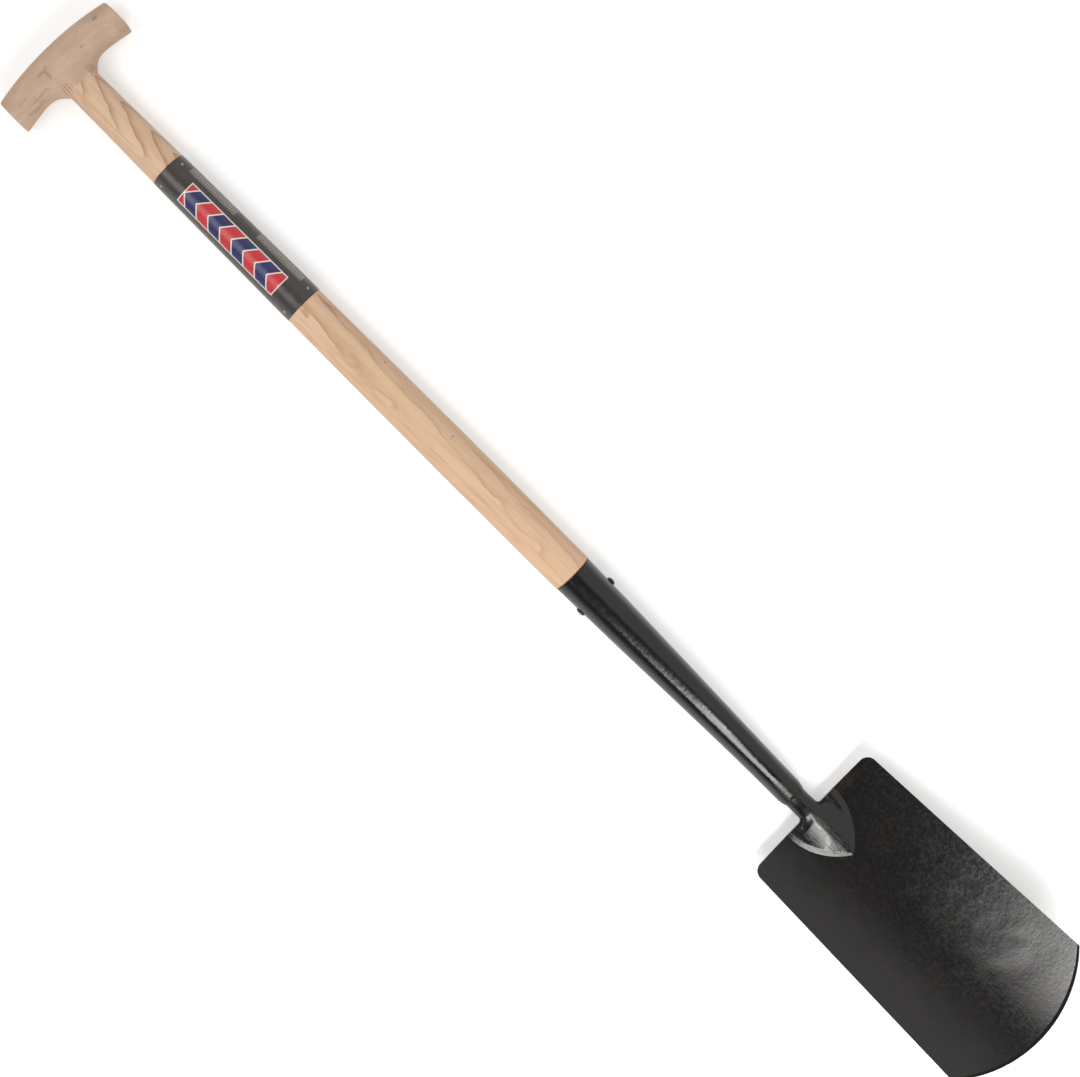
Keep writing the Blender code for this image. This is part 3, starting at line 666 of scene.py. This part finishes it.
def film_material():
    """Dark glossy film with a panel of red and navy chevrons between pale lines."""
    g = Graph("label_film")
    x, y, z = g.place()
    around = x.math("ARCTAN2", z) * PANEL_RADIUS + PANEL_SHIFT
    along = y - (LABEL_BOTTOM_Y + 0.5 * LABEL_LENGTH)
    wave = g.noise(x, y, z, scale=120.0)

    def panel(border):
        """1 on the panel and a border round it."""
        beyond, short = PANEL_SOFT
        across, length = (half + border for half in PANEL_SIZE)
        side = around.size().step(across + beyond, across - short)
        return side * along.size().step(length + beyond, length - short)

    inside = panel(0.0)
    frame = panel(PANEL_FRAME) - inside
    band = ((along + around.size() * CHEVRON_SLOPE) / CHEVRON_PITCH + CHEVRON_START).part()
    middle = (band - 0.5).size()
    line = middle.step(0.030, 0.022) + middle.step(0.470, 0.478)
    art = g.mix(band.step(0.49, 0.51), g.mix(wave, *FILM_RED), g.mix(wave, *FILM_NAVY))
    art = g.mix(line, art, FILM_PALE)
    ticks = (along / TICK_SIZE[1] + wave * 3.0).part().step(0.30, 0.45)
    ticks = ticks * (around / TICK_SIZE[0]).part().step(0.45, 0.55)
    (strip_x, strip_y), (strip_width, strip_length) = TICK_STRIP
    strip = (around - strip_x).within(strip_width, SIGN_SOFT)
    strip = strip * (along.size() - strip_y).within(strip_length, SIGN_SOFT)
    (dot_middle, dot_x), dot_y = DOT_PLACE
    dots = ((around - dot_middle).size() - dot_x).within(DOT_SIZE, SIGN_SOFT)
    dots = dots * (along.size() - dot_y).within(DOT_SIZE, SIGN_SOFT)
    colour = g.layers(
        g.mix(wave, *FILM_DARK),
        (inside, art),
        (frame, FILM_PALE),
        (ticks * strip * 0.75, FILM_PALE),
        (dots * 0.50, FILM_PALE),
    )
    g.set("Base Color", colour)
    g.set("Roughness", wave * 0.10 + FILM_ROUGHNESS)
    g.set("Specular IOR Level", FILM_SPECULAR)
    g.relief(wave, FILM_RELIEF)
    return g.material


def steel_material():
    """Plain drawn steel of the pin."""
    g = Graph("drawn_steel")
    x, y, z = g.place()
    streak = g.noise(x, y, z * 0.1, scale=2500.0)
    g.set("Base Color", g.mix(streak, *STEEL))
    g.set("Metallic", 1.0)
    g.set("Roughness", streak * 0.15 + STEEL_ROUGHNESS)
    g.relief(streak, STEEL_RELIEF)
    return g.material


# Shapes

def ease(value):
    value = min(max(value, 0.0), 1.0)
    return value * value * (3 - 2 * value)


def slope(value):
    """Straight rise from 0 to 1 with both ends rounded off."""
    value = min(max(value, -FROG_EDGE_ROUND), 1 + FROG_EDGE_ROUND)
    low = max(FROG_EDGE_ROUND - abs(value), 0.0) ** 2 / (4 * FROG_EDGE_ROUND)
    high = max(FROG_EDGE_ROUND - abs(value - 1), 0.0) ** 2 / (4 * FROG_EDGE_ROUND)
    return min(max(value, 0.0), 1.0) + low - high


def turn_angles(sides):
    return [2 * pi * k / sides for k in range(sides)]


def reach_at(radius, angle):
    """Radius at an angle; the radius is a number or a function of the angle."""
    return radius(angle) if callable(radius) else radius


def round_noise(angle, along, waves):
    """Noise on a round piece: waves is how fast it changes round the piece and along it."""
    around, lengthwise = waves
    return noise.noise(Vector((cos(angle) * around, sin(angle) * around, along * lengthwise)))


def head_frame(run):
    """Centre and tilt of the head's axis, measured down from where the socket bends."""
    if run <= 0:
        return Vector((0, BEND_Y - run, 0)), 0.0
    tilt = min(run, SOCKET_ARC) / SOCKET_BEND_RADIUS
    y = BEND_Y - SOCKET_BEND_RADIUS * sin(tilt)
    z = -SOCKET_BEND_RADIUS * (1 - cos(tilt))
    if run > SOCKET_ARC:
        tilt = SOCKET_BEND - min(run - SOCKET_ARC, NECK_ARC) / NECK_BEND_RADIUS
        y += NECK_BEND_RADIUS * (sin(tilt) - sin(SOCKET_BEND))
        z -= NECK_BEND_RADIUS * (cos(tilt) - cos(SOCKET_BEND))
    straight = max(run - SOCKET_ARC - NECK_ARC, 0.0)
    y -= straight * cos(tilt)
    z -= straight * sin(tilt)
    return Vector((0, y, z)), tilt


def head_ring(run, radius, sides):
    """Ring round the head's axis."""
    centre, tilt = head_frame(run)
    up = Vector((0, -sin(tilt), cos(tilt)))
    points = []
    for angle in turn_angles(sides):
        reach = reach_at(radius, angle)
        points.append(centre + Vector((reach * cos(angle), 0, 0)) + up * (reach * sin(angle)))
    return points


def socket_outer_radius(run):
    share = min(max((run + SOCKET_STRAIGHT) / SOCKET_LENGTH, 0.0), 1.0)
    drop = sum(factor * share ** (power + 1) for power, factor in enumerate(SOCKET_TAPER))
    return SOCKET_RIM_RADIUS - (SOCKET_RIM_RADIUS - SOCKET_END_RADIUS) * drop / sum(SOCKET_TAPER)


def shaft_radius(y):
    if y >= SHAFT_BELLY_Y:
        share = (JOINT_Y - y) / (JOINT_Y - SHAFT_BELLY_Y)
        return SHAFT_TOP_RADIUS + (SHAFT_BELLY_RADIUS - SHAFT_TOP_RADIUS) * sin(pi / 2 * share)
    share = (SHAFT_BELLY_Y - y) / (SHAFT_BELLY_Y - SOCKET_RIM_Y)
    return SHAFT_BELLY_RADIUS + (SHAFT_RIM_RADIUS - SHAFT_BELLY_RADIUS) * ease(share)


def make_piece(name, bm, material, node):
    """Mesh object from a bmesh in the spade's own frame, riding the root body for a node."""
    bmesh.ops.recalc_face_normals(bm, faces=bm.faces)
    mesh = bpy.data.meshes.new(name)
    bm.to_mesh(mesh)
    bm.free()
    mesh.transform(REST)
    mesh.shade_smooth()
    mesh.set_sharp_from_angle(angle=SHARP_ANGLE)
    mesh.materials.append(material)
    piece = bpy.data.objects.new(name, mesh)
    bpy.context.collection.objects.link(piece)
    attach(piece, "root")
    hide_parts(node)
    return piece


def skin_rings(bm, lower, upper):
    sides = len(lower)
    for i in range(sides):
        j = (i + 1) % sides
        bm.faces.new((lower[i], lower[j], upper[j], upper[i]))


def loft(rings, closed=False):
    """Mesh through a row of rings, its ends filled or, when closed, joined to each other."""
    bm = bmesh.new()
    rows = [[bm.verts.new(point) for point in points] for points in rings]
    pairs = list(zip(rows, rows[1:]))
    if closed:
        pairs.append((rows[-1], rows[0]))
    for lower, upper in pairs:
        skin_rings(bm, lower, upper)
    if not closed:
        bm.faces.new(rows[0])
        bm.faces.new(rows[-1])
    return bm


def blade_matrix():
    """Blade's frame: origin on the plate at the shoulder, -Y down the blade, +Z out of its face."""
    centre, _ = head_frame(SHOULDER_RUN)
    turn = Matrix.Rotation(-BLADE_CRANK, 4, "X")
    origin = centre - (turn @ Vector((0, 0, NECK_RISE)))
    return Matrix.Translation(origin) @ turn


def blade_columns():
    """Top ends (x, v) of the mesh columns from the centre to the right corner, v down the blade."""
    fillet_end = NECK_RADIUS + NECK_FILLET
    frog_end = FROG_WIDTH / 2 + FROG_EDGE_WIDTH / 2
    corner_start = BLADE_TOP_WIDTH / 2 - SHOULDER_RADIUS
    columns = []
    for k in range(QUARTER_SIDES + 1):
        columns.append((NECK_RADIUS * sin(pi / 2 * k / QUARTER_SIDES), -NECK_FILLET))
    for k in range(1, FILLET_STEPS + 1):
        angle = pi / 2 * k / FILLET_STEPS
        x = NECK_RADIUS + NECK_FILLET * (1 - cos(angle))
        columns.append((x, NECK_FILLET * (sin(angle) - 1)))
    for k in range(1, FROG_COLUMNS + 1):
        columns.append((fillet_end + (frog_end - fillet_end) * k / FROG_COLUMNS, 0.0))
    for k in range(1, SIDE_COLUMNS):
        columns.append((frog_end + (corner_start - frog_end) * k / SIDE_COLUMNS, 0.0))
    for k in range(FILLET_STEPS + 1):
        angle = pi / 2 * k / FILLET_STEPS
        x = corner_start + SHOULDER_RADIUS * sin(angle)
        columns.append((x, SHOULDER_RADIUS * (1 - cos(angle))))
    return columns


def blade_rows():
    """Distances down the blade's centre line: close together over the frog, wider below."""
    start = -NECK_FILLET
    frog_end = FROG_LENGTH + FROG_EDGE_WIDTH
    ground_start = BLADE_LENGTH - GROUND_WIDTH
    rows = [start + (frog_end - start) * k / FROG_ROWS for k in range(FROG_ROWS)]
    rows += [
        frog_end + (ground_start - frog_end) * k / PLATE_ROWS for k in range(PLATE_ROWS + 1)
    ]
    rows.append(BLADE_LENGTH)
    return rows


def cutting_edge(x):
    """Distance down the blade at which it ends."""
    half = BLADE_BOTTOM_WIDTH / 2
    rise = BLADE_LENGTH - BLADE_SIDE_LENGTH
    radius = (half * half + rise * rise) / (2 * rise)
    return BLADE_LENGTH - radius + sqrt(radius * radius - x * x)


def frog_height(x, v):
    """Pad with a stepped edge, and on it the ridge that runs out from the neck to a point."""
    share = min(max(v, 0.0) / FROG_LENGTH, 1.0)
    half = FROG_WIDTH / 2 * (1 - share * share) ** FROG_OUTLINE_POWER
    edge = max(min(FROG_EDGE_WIDTH, half), LEAST_EDGE)
    pad = FROG_PAD_HEIGHT * (1 - FROG_PAD_FALL * share * share) * slope((half - abs(x)) / edge)
    foot = NECK_RADIUS + (RIDGE_FOOT_WIDTH / 2 - NECK_RADIUS) * ease(share / RIDGE_FOOT_REACH)
    foot = max(min(foot, half), LEAST_EDGE)
    across = min(abs(x) / foot, 1.0)
    round_top = sqrt(1 - across * across)
    flank = 1 - ease((across - RIDGE_FLAT) / (1 - RIDGE_FLAT))
    blend = ease(share / RIDGE_BLEND_REACH)
    height = NECK_RISE + NECK_RADIUS - BLADE_THICKNESS / 2 - FROG_PAD_HEIGHT
    ridge = height * (1 - share) * (round_top + (flank - round_top) * blend)
    return pad + ridge


def heel_swell(x, v):
    """How far the back stands out below the plate where the neck runs into it."""
    fade = 1 - ease(max(v, 0.0) / HEEL_SWELL_LENGTH)
    depth = sqrt(max(NECK_RADIUS ** 2 - x * x, 0.0)) - NECK_RISE - BLADE_THICKNESS / 2
    return max(depth, 0.0) * fade


def forging_wave(x, v):
    """Shallow unevenness that a hammered plate keeps, none near its edges."""
    inset = min(
        (BLADE_TOP_WIDTH / 2 - abs(x)) / FORGING_SIDE_FADE,
        (BLADE_SIDE_LENGTH - v) / FORGING_END_FADE,
        max(v, 0.0) / FORGING_END_FADE,
    )
    wave = sum(
        noise.noise(Vector((x * pitch, v * pitch, layer))) * height
        for pitch, layer, height in FORGING_WAVES
    )
    return wave * ease(inset)


def blade_point(x, v, is_end, is_face):
    """Point on the face or the back; is_end marks the last row, which is ground on the face."""
    bowl = x * x / (2 * DISH_RADIUS) + max(v, 0.0) ** 2 / (2 * SWEEP_RADIUS)
    half = BLADE_THICKNESS / 2
    if is_face:
        thinner = THINNING * ease((v - THINNING_START) / THINNING_REACH)
        ground = BLADE_THICKNESS - thinner - GROUND_EDGE if is_end else 0.0
        z = bowl + half + frog_height(x, v) - thinner - ground
    else:
        z = bowl - half - heel_swell(x, v)
    return Vector((x, -v, z + forging_wave(x, v)))


def blade_skins(bm, columns, rows):
    """Vertices of the face and of the back, column by column."""
    span = rows[-1] - rows[0]
    face, back = [], []
    for x_top, v_top in columns:
        x_low = x_top * BLADE_BOTTOM_WIDTH / BLADE_TOP_WIDTH
        v_low = cutting_edge(x_low)
        for skin, is_face in ((face, True), (back, False)):
            line = []
            for row in rows:
                share = (row - rows[0]) / span
                x = x_top + (x_low - x_top) * share
                v = v_top + (v_low - v_top) * share
                line.append(bm.verts.new(blade_point(x, v, row == rows[-1], is_face)))
            skin.append(line)
    return face, back


def close_plate(bm, face, back, first, final):
    """Faces of the plate's two skins and of its rim, left open at the neck's columns."""
    columns = len(face)
    last = len(face[0]) - 1
    for c in range(columns - 1):
        for j in range(last):
            bm.faces.new((face[c][j], face[c + 1][j], face[c + 1][j + 1], face[c][j + 1]))
            bm.faces.new((back[c][j], back[c][j + 1], back[c + 1][j + 1], back[c + 1][j]))
        bm.faces.new((face[c][last], face[c + 1][last], back[c + 1][last], back[c][last]))
        if c < first or c >= final:
            bm.faces.new((face[c][0], back[c][0], back[c + 1][0], face[c + 1][0]))
    for c in (0, columns - 1):
        for j in range(last):
            bm.faces.new((face[c][j], face[c][j + 1], back[c][j + 1], back[c][j]))


def add_stem(bm, to_blade):
    """Bent neck and the spigot above it. Gives back the neck's lowest ring."""
    runs = [SHOULDER_RUN - NECK_BLEND]
    runs += [SOCKET_ARC + NECK_ARC * k / NECK_STEPS for k in range(NECK_STEPS, 0, -1)]
    runs += [SOCKET_ARC, SOCKET_ARC - SPIGOT_LENGTH]
    stem = []
    for run in runs:
        ring = head_ring(run, NECK_RADIUS, ROUND_SIDES)
        stem.append([bm.verts.new(to_blade @ point) for point in ring])
    for lower, upper in zip(stem, stem[1:]):
        skin_rings(bm, lower, upper)
    bm.faces.new(stem[-1])
    return stem[0]


def join_stem(bm, foot, face, back, first, final):
    """Carry the neck's lowest ring into the top of both skins."""
    for k in range(2 * QUARTER_SIDES):
        a = final - k
        b = a - 1
        bm.faces.new((foot[k], foot[k + 1], face[b][0], face[a][0]))
        low_a = foot[-k % ROUND_SIDES]
        low_b = foot[-(k + 1) % ROUND_SIDES]
        bm.faces.new((low_a, back[a][0], back[b][0], low_b))
    bm.faces.new((foot[0], face[final][0], back[final][0]))
    bm.faces.new((foot[2 * QUARTER_SIDES], back[first][0], face[first][0]))


def make_blade(material):
    """Blade, frog and neck as one forging, with softened plate edges."""
    place = blade_matrix()
    right = blade_columns()
    columns = [(-x, v) for x, v in reversed(right[1:])] + right
    first = len(right) - 1 - QUARTER_SIDES
    final = len(right) - 1 + QUARTER_SIDES
    bm = bmesh.new()
    face, back = blade_skins(bm, columns, blade_rows())
    close_plate(bm, face, back, first, final)
    foot = add_stem(bm, place.inverted())
    join_stem(bm, foot, face, back, first, final)
    bm.transform(place)
    blade = make_piece("blade_forging", bm, material, "blade")
    bevel = blade.modifiers.new("soft_edges", "BEVEL")
    bevel.width = SOFT_EDGE
    bevel.segments = SOFT_EDGE_STEPS
    bevel.limit_method = "ANGLE"
    bevel.angle_limit = SOFT_EDGE_ANGLE


def socket_skin(run, angle):
    """Radius of the socket's outside: taper, slight waves and a closed seam along the back."""
    radius = socket_outer_radius(run)
    radius += round_noise(angle, run, SOCKET_WAVES) * SOCKET_WAVE_HEIGHT - SOCKET_SKIN_INSET
    seam = abs(angle - BACK_ANGLE) * radius
    return radius - SEAM_DEPTH * (1 - ease(seam / SEAM_HALF_WIDTH))


def socket_ring(run, station, inset=0.0):
    """Ring of the socket's outside; its radius is that of a station, less an inset."""
    return head_ring(run, lambda angle: socket_skin(station, angle) - inset, FINE_SIDES)


def make_socket(material):
    """Rolled tube with a closed seam along its back and a softly rounded rim."""
    rim = -SOCKET_STRAIGHT
    first = rim + SOCKET_EDGE_ROUND
    rings = []
    for k in reversed(range(SOCKET_EDGE_STEPS)):
        turn = pi / 2 * k / SOCKET_EDGE_STEPS
        run = rim + SOCKET_EDGE_ROUND * (1 - sin(turn))
        rings.append(socket_ring(run, rim, SOCKET_EDGE_ROUND * (1 - cos(turn))))
    for k in range(1, SOCKET_STEPS + 1):
        run = first + (SOCKET_ARC - first) * k / SOCKET_STEPS
        rings.append(socket_ring(run, run))
    for k in range(SOCKET_STEPS, -1, -SOCKET_BORE_STRIDE):
        run = rim + SOCKET_LENGTH * k / SOCKET_STEPS
        rings.append(head_ring(run, socket_outer_radius(run) - SOCKET_WALL, FINE_SIDES))
    make_piece("rolled_socket", loft(rings, closed=True), material, "socket")


def make_weld(material):
    """Rippled bead in the corner between the socket's end and the neck."""
    inside = NECK_RADIUS + WELD_GAP
    height = SOCKET_END_RADIUS - WELD_INSET - inside

    def bead(share):
        """Radius of the bead at a share of its length, as a function of the angle."""
        crown = height * (1 - share ** WELD_FALL)

        def radius(angle):
            sway = noise.noise(Vector((cos(angle), sin(angle), 2))) * WELD_RIPPLE_SWAY
            ripple = sin(angle * WELD_RIPPLES + WELD_RIPPLE_TWIST * share + sway)
            return inside + crown * (WELD_CREST + WELD_RIPPLE_DEPTH * ripple)
        return radius

    top = SOCKET_ARC + WELD_GAP
    rings = []
    for k in range(WELD_STEPS + 1):
        share = k / WELD_STEPS
        rings.append(head_ring(top + share * WELD_LENGTH, bead(share), FINE_SIDES))
    for run in (top + WELD_LENGTH, top):
        rings.append(head_ring(run, inside - WELD_ROOT, FINE_SIDES))
    make_piece("weld_bead", loft(rings, closed=True), material, "neck_weld")


def make_rivet(material):
    """Cross rivet with a domed head and a flatter closed head, both set in paint."""
    seat = socket_outer_radius(RIVET_DROP - SOCKET_STRAIGHT)
    profile = []
    for (radius, height), side in ((RIVET_TAIL, -1), (RIVET_HEAD, 1)):
        pairs = [(radius, seat - RIVET_SINK), (radius, seat)]
        for k in range(1, RIVET_STEPS):
            angle = pi / 2 * k / RIVET_STEPS
            pairs.append((radius * cos(angle), seat + CLEARANCE + height * sin(angle)))
        profile += [(r, side * reach) for r, reach in pairs[::side]]
    rings = []
    for radius, reach in profile:
        ring = []
        for angle in turn_angles(RIVET_SIDES):
            y = SOCKET_RIM_Y - RIVET_DROP + radius * cos(angle)
            ring.append(Vector((reach, y, radius * sin(angle))))
        rings.append(ring)
    make_piece("cross_rivet", loft(rings), material, "socket_rivet")


def turned(profile, closed=False):
    """Revolve (radius, y) pairs about the shaft's axis."""
    rings = []
    for radius, y in profile:
        ring = []
        for angle in turn_angles(FINE_SIDES):
            reach = reach_at(radius, angle)
            ring.append(Vector((reach * cos(angle), y, reach * sin(angle))))
        rings.append(ring)
    return loft(rings, closed)


def sanded(y):
    """Radius of the shaft at y, hand-sanded a little uneven, as a function of the angle."""
    def radius(angle):
        wave = round_noise(angle, y, SANDING_WAVES) - SANDING_MIDDLE
        return shaft_radius(y) + wave * SANDING_DEPTH
    return radius


def make_shaft(material):
    """Turned shaft with its tenon and the foot inside the socket."""
    top = JOINT_Y - SHAFT_TOP_GAP
    rim = SOCKET_RIM_Y + CLEARANCE
    rim_inset, rim_rise = RIM_CHAMFER
    tenon_end = JOINT_Y + TENON_LENGTH
    profile = [
        (TENON_RADIUS - TENON_CHAMFER, tenon_end),
        (TENON_RADIUS, tenon_end - TENON_CHAMFER),
        (TENON_RADIUS, top),
    ]
    for k in range(SHAFT_STEPS + 1):
        y = top + (rim + rim_rise - top) * k / SHAFT_STEPS
        profile.append((sanded(y), y))
    profile.append((SHAFT_RIM_RADIUS - rim_inset, rim))
    foot_end = BEND_Y + FOOT_END_GAP
    for k in range(FOOT_STEPS + 1):
        y = rim + (foot_end - rim) * k / FOOT_STEPS
        radius = socket_outer_radius(BEND_Y - y) - SOCKET_WALL - FOOT_INSET
        profile.append((radius, y - FOOT_SHIFT))
    make_piece("ash_shaft", turned(profile), material, "shaft")


def film_skin(y, offset):
    """Radius of the film at y as a function of the angle, with the step of its lap on the back."""
    def radius(angle):
        lap = angle - BACK_ANGLE
        step = LAP_STEP * ease(lap / LAP_EDGE + 0.5) * ease((LAP_END - lap) / LAP_FADE)
        wave = round_noise(angle, y, FILM_WAVES) * FILM_WAVE_HEIGHT
        return shaft_radius(y) + offset + step + wave
    return radius


def make_film(material):
    """Film sleeve wrapped onto the shaft, its edge lapped along the back."""
    heights = [LABEL_BOTTOM_Y + LABEL_LENGTH * k / FILM_STEPS for k in range(FILM_STEPS + 1)]
    outer = [(film_skin(y, FILM_OUTER), y) for y in heights]
    for end in (0, -1):
        outer[end] = (film_skin(heights[end], FILM_EDGE), heights[end])
    inner = [(shaft_radius(y) + FILM_INNER, y) for y in reversed(heights)]
    film = turned(outer + inner, closed=True)
    make_piece("film_sleeve", film, material, "label_sleeve")


def grip_section(x, scale=1.0):
    """Control points round the bar at station x, drawn larger because smoothing shrinks them."""
    crown = GRIP_CROWN_Y - GRIP_CROWN_RADIUS + sqrt(GRIP_CROWN_RADIUS ** 2 - x * x)
    under = GRIP_CROWN_Y - GRIP_HEIGHT - GRIP_UNDER_RADIUS + sqrt(GRIP_UNDER_RADIUS ** 2 - x * x)
    points = []
    for angle in CAGE_ANGLES:
        reach = 0.5 * scale / CAGE_SHRINK * (1 + GRIP_SQUARENESS * abs(sin(2 * angle)))
        y = 0.5 * (crown + under) + (crown - under) * reach * cos(angle)
        points.append(Vector((x, y, GRIP_DEPTH * reach * sin(angle))))
    return points


def grip_bar(bm):
    """Cage of the bar with an opening under its middle. Gives back the opening's rim."""
    half = GRIP_WIDTH / 2
    right = [half, half - GRIP_END_ROUND, 0.5 * (half + GRIP_OPENING), GRIP_OPENING]
    stations = right + [0.0] + [-x for x in reversed(right)]
    rows = [[bm.verts.new(point) for point in grip_section(x)] for x in stations]
    middle = len(right)
    low = len(CAGE_ANGLES) // 2
    for s, (near, far) in enumerate(zip(rows, rows[1:])):
        for k in range(len(near)):
            if s in (middle - 1, middle) and k in (low - 1, low):
                continue
            j = (k + 1) % len(near)
            bm.faces.new((near[k], near[j], far[j], far[k]))
    end_scale = 1 - 2 * GRIP_END_ROUND / GRIP_HEIGHT
    for row, x in ((rows[0], half), (rows[-1], -half)):
        inset = [bm.verts.new(point) for point in grip_section(x, end_scale)]
        skin_rings(bm, row, inset)
        bm.faces.new(inset)
    right_rim, middle_rim, left_rim = rows[middle - 1:middle + 2]
    rim = [right_rim[low - 1], middle_rim[low - 1], left_rim[low - 1], left_rim[low]]
    return rim + [left_rim[low + 1], middle_rim[low + 1], right_rim[low + 1], right_rim[low]]


def grip_neck(bm, rim):
    """Round neck drawn down from the opening to the joint, its lower edge kept crisp."""
    lower = rim
    reach = GRIP_NECK_RADIUS / CAGE_SHRINK
    for flare, height in ((GRIP_NECK_FLARE, GRIP_NECK_TOP), (1.0, 0.0)):
        circle = []
        for k in range(len(rim)):
            angle = pi / 4 * (1 + k)
            point = (reach * flare * cos(angle), JOINT_Y + height, reach * sin(angle))
            circle.append(bm.verts.new(point))
        skin_rings(bm, lower, circle)
        lower = circle
    bm.faces.new(lower)
    crease = bm.edges.layers.float.new("crease_edge")
    for near, far in zip(lower, lower[1:] + lower[:1]):
        bm.edges.get((near, far))[crease] = 1.0


def pin_hole():
    """Solid of the pin's hole, from behind the grip to the pin's tip."""
    rings = []
    for z in (-GRIP_DEPTH, PIN_TIP_Z + CLEARANCE):
        ring = []
        for angle in turn_angles(PIN_HOLE_SIDES):
            x = PIN_HOLE_RADIUS * cos(angle)
            ring.append(Vector((x, PIN_Y + PIN_HOLE_RADIUS * sin(angle), z)))
        rings.append(ring)
    hole = loft(rings)
    bmesh.ops.recalc_face_normals(hole, faces=hole.faces)
    return hole


def smoothed(bm, hole):
    """Subdivide a cage and cut a hole into the result."""
    bmesh.ops.recalc_face_normals(bm, faces=bm.faces)
    items = []
    for name, source in (("cage", bm), ("hole", hole)):
        mesh = bpy.data.meshes.new(name)
        source.to_mesh(mesh)
        items.append(bpy.data.objects.new(name, mesh))
        bpy.context.collection.objects.link(items[-1])
    cage, cutter = items
    smooth = cage.modifiers.new("smooth", "SUBSURF")
    smooth.levels = smooth.render_levels = GRIP_SMOOTHING
    cut = cage.modifiers.new("cut", "BOOLEAN")
    cut.operation = "DIFFERENCE"
    cut.solver = "EXACT"
    cut.object = cutter
    solid = cage.evaluated_get(bpy.context.evaluated_depsgraph_get())
    result = bmesh.new()
    result.from_mesh(solid.to_mesh())
    for item in items:
        bpy.data.objects.remove(item)
    return result


def make_grip(material):
    """Arched bar with a round neck, and the hole of the pin in its back."""
    bm = bmesh.new()
    grip_neck(bm, grip_bar(bm))
    make_piece("grip_bar", smoothed(bm, pin_hole()), material, "t_grip")


# Stage

def make_floor():
    """Pale floor that reads white to the camera and keeps the spade's shadow."""
    mesh = bpy.data.meshes.new("floor")
    bm = bmesh.new()
    corners = ((-1, -1), (1, -1), (1, 1), (-1, 1))
    bm.faces.new([bm.verts.new((x * FLOOR_REACH, y * FLOOR_REACH, FLOOR_Z)) for x, y in corners])
    bm.to_mesh(mesh)
    bm.free()
    floor = bpy.data.objects.new("floor", mesh)
    bpy.context.collection.objects.link(floor)
    g = Graph("pale_floor")
    g.set("Base Color", FLOOR_COLOUR)
    g.set("Roughness", FLOOR_ROUGHNESS)
    g.set("Specular IOR Level", 0.0)
    g.set("Emission Color", (1.0, 1.0, 1.0, 1.0))
    g.set("Emission Strength", g.seen() * FLOOR_GLOW)
    mesh.materials.append(g.material)


def make_world():
    """Surroundings: pale all round and up the right side, dark overhead and high on the left."""
    world = bpy.data.worlds.new("studio")
    bpy.context.scene.world = world
    world.use_nodes = True
    tree = world.node_tree
    background = tree.nodes["Background"]
    where = tree.nodes.new("ShaderNodeTexCoord")
    split = tree.nodes.new("ShaderNodeSeparateXYZ")
    tree.links.new(where.outputs["Generated"], split.inputs[0])
    brightest = None
    for axis, dark, pale in SKY_RAMPS:
        ramp = tree.nodes.new("ShaderNodeMapRange")
        ramp.interpolation_type = "SMOOTHSTEP"
        ends = (("From Min", dark), ("From Max", pale), ("To Min", SKY_DARK), ("To Max", SKY_PALE))
        for name, value in ends:
            ramp.inputs[name].default_value = value
        tree.links.new(split.outputs[axis], ramp.inputs["Value"])
        level = ramp.outputs[0]
        if brightest is not None:
            brighter = tree.nodes.new("ShaderNodeMath")
            brighter.operation = "MAXIMUM"
            tree.links.new(brightest, brighter.inputs[0])
            tree.links.new(level, brighter.inputs[1])
            level = brighter.outputs[0]
        brightest = level
    tree.links.new(brightest, background.inputs["Strength"])
    background.inputs["Color"].default_value = (*LIGHT_COLOUR, 1.0)


def make_light(name, place, size, radiance):
    light = bpy.data.lights.new(name, "AREA")
    light.shape = "RECTANGLE"
    light.size, light.size_y = size
    light.energy = radiance * pi * size[0] * size[1]
    light.color = LIGHT_COLOUR
    item = bpy.data.objects.new(name, light)
    bpy.context.collection.objects.link(item)
    item.location = REST @ Vector(place)


def make_camera():
    """Camera over the face, rolled so that the shaft runs down the picture's diagonal."""
    forward = (CAMERA_AIM - CAMERA_PLACE).normalized()
    down = Vector((0, -1, 0))
    down = (down - forward * down.dot(forward)).normalized()
    side = down.cross(forward)
    if side.x < 0:
        side = -side
    right = (down + side) / sqrt(2)
    up = (side - down) / sqrt(2)
    turn = Matrix((right, up, -forward)).transposed().to_4x4()
    data = bpy.data.cameras.new("camera")
    data.sensor_width = SENSOR_WIDTH
    data.lens = SENSOR_WIDTH * FOCAL_PIXELS / IMAGE_WIDTH
    data.clip_end = CAMERA_REACH
    camera = bpy.data.objects.new("camera", data)
    bpy.context.collection.objects.link(camera)
    camera.matrix_world = REST @ Matrix.Translation(CAMERA_PLACE) @ turn
    bpy.context.scene.camera = camera


def main():
    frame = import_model()
    make_camera()
    make_world()
    make_floor()
    for lamp in LAMPS:
        make_light(*lamp)
    coating = coating_material()
    for make in (make_blade, make_socket, make_weld, make_rivet):
        make(coating)
    make_shaft(ash_material())
    make_film(film_material())
    make_grip(grip_material())
    steel = steel_material()
    for holder in frame["nodes"]["grip_pin"].material_slots:
        holder.material = steel
    bpy.context.scene.view_settings.view_transform = "Standard"


main()
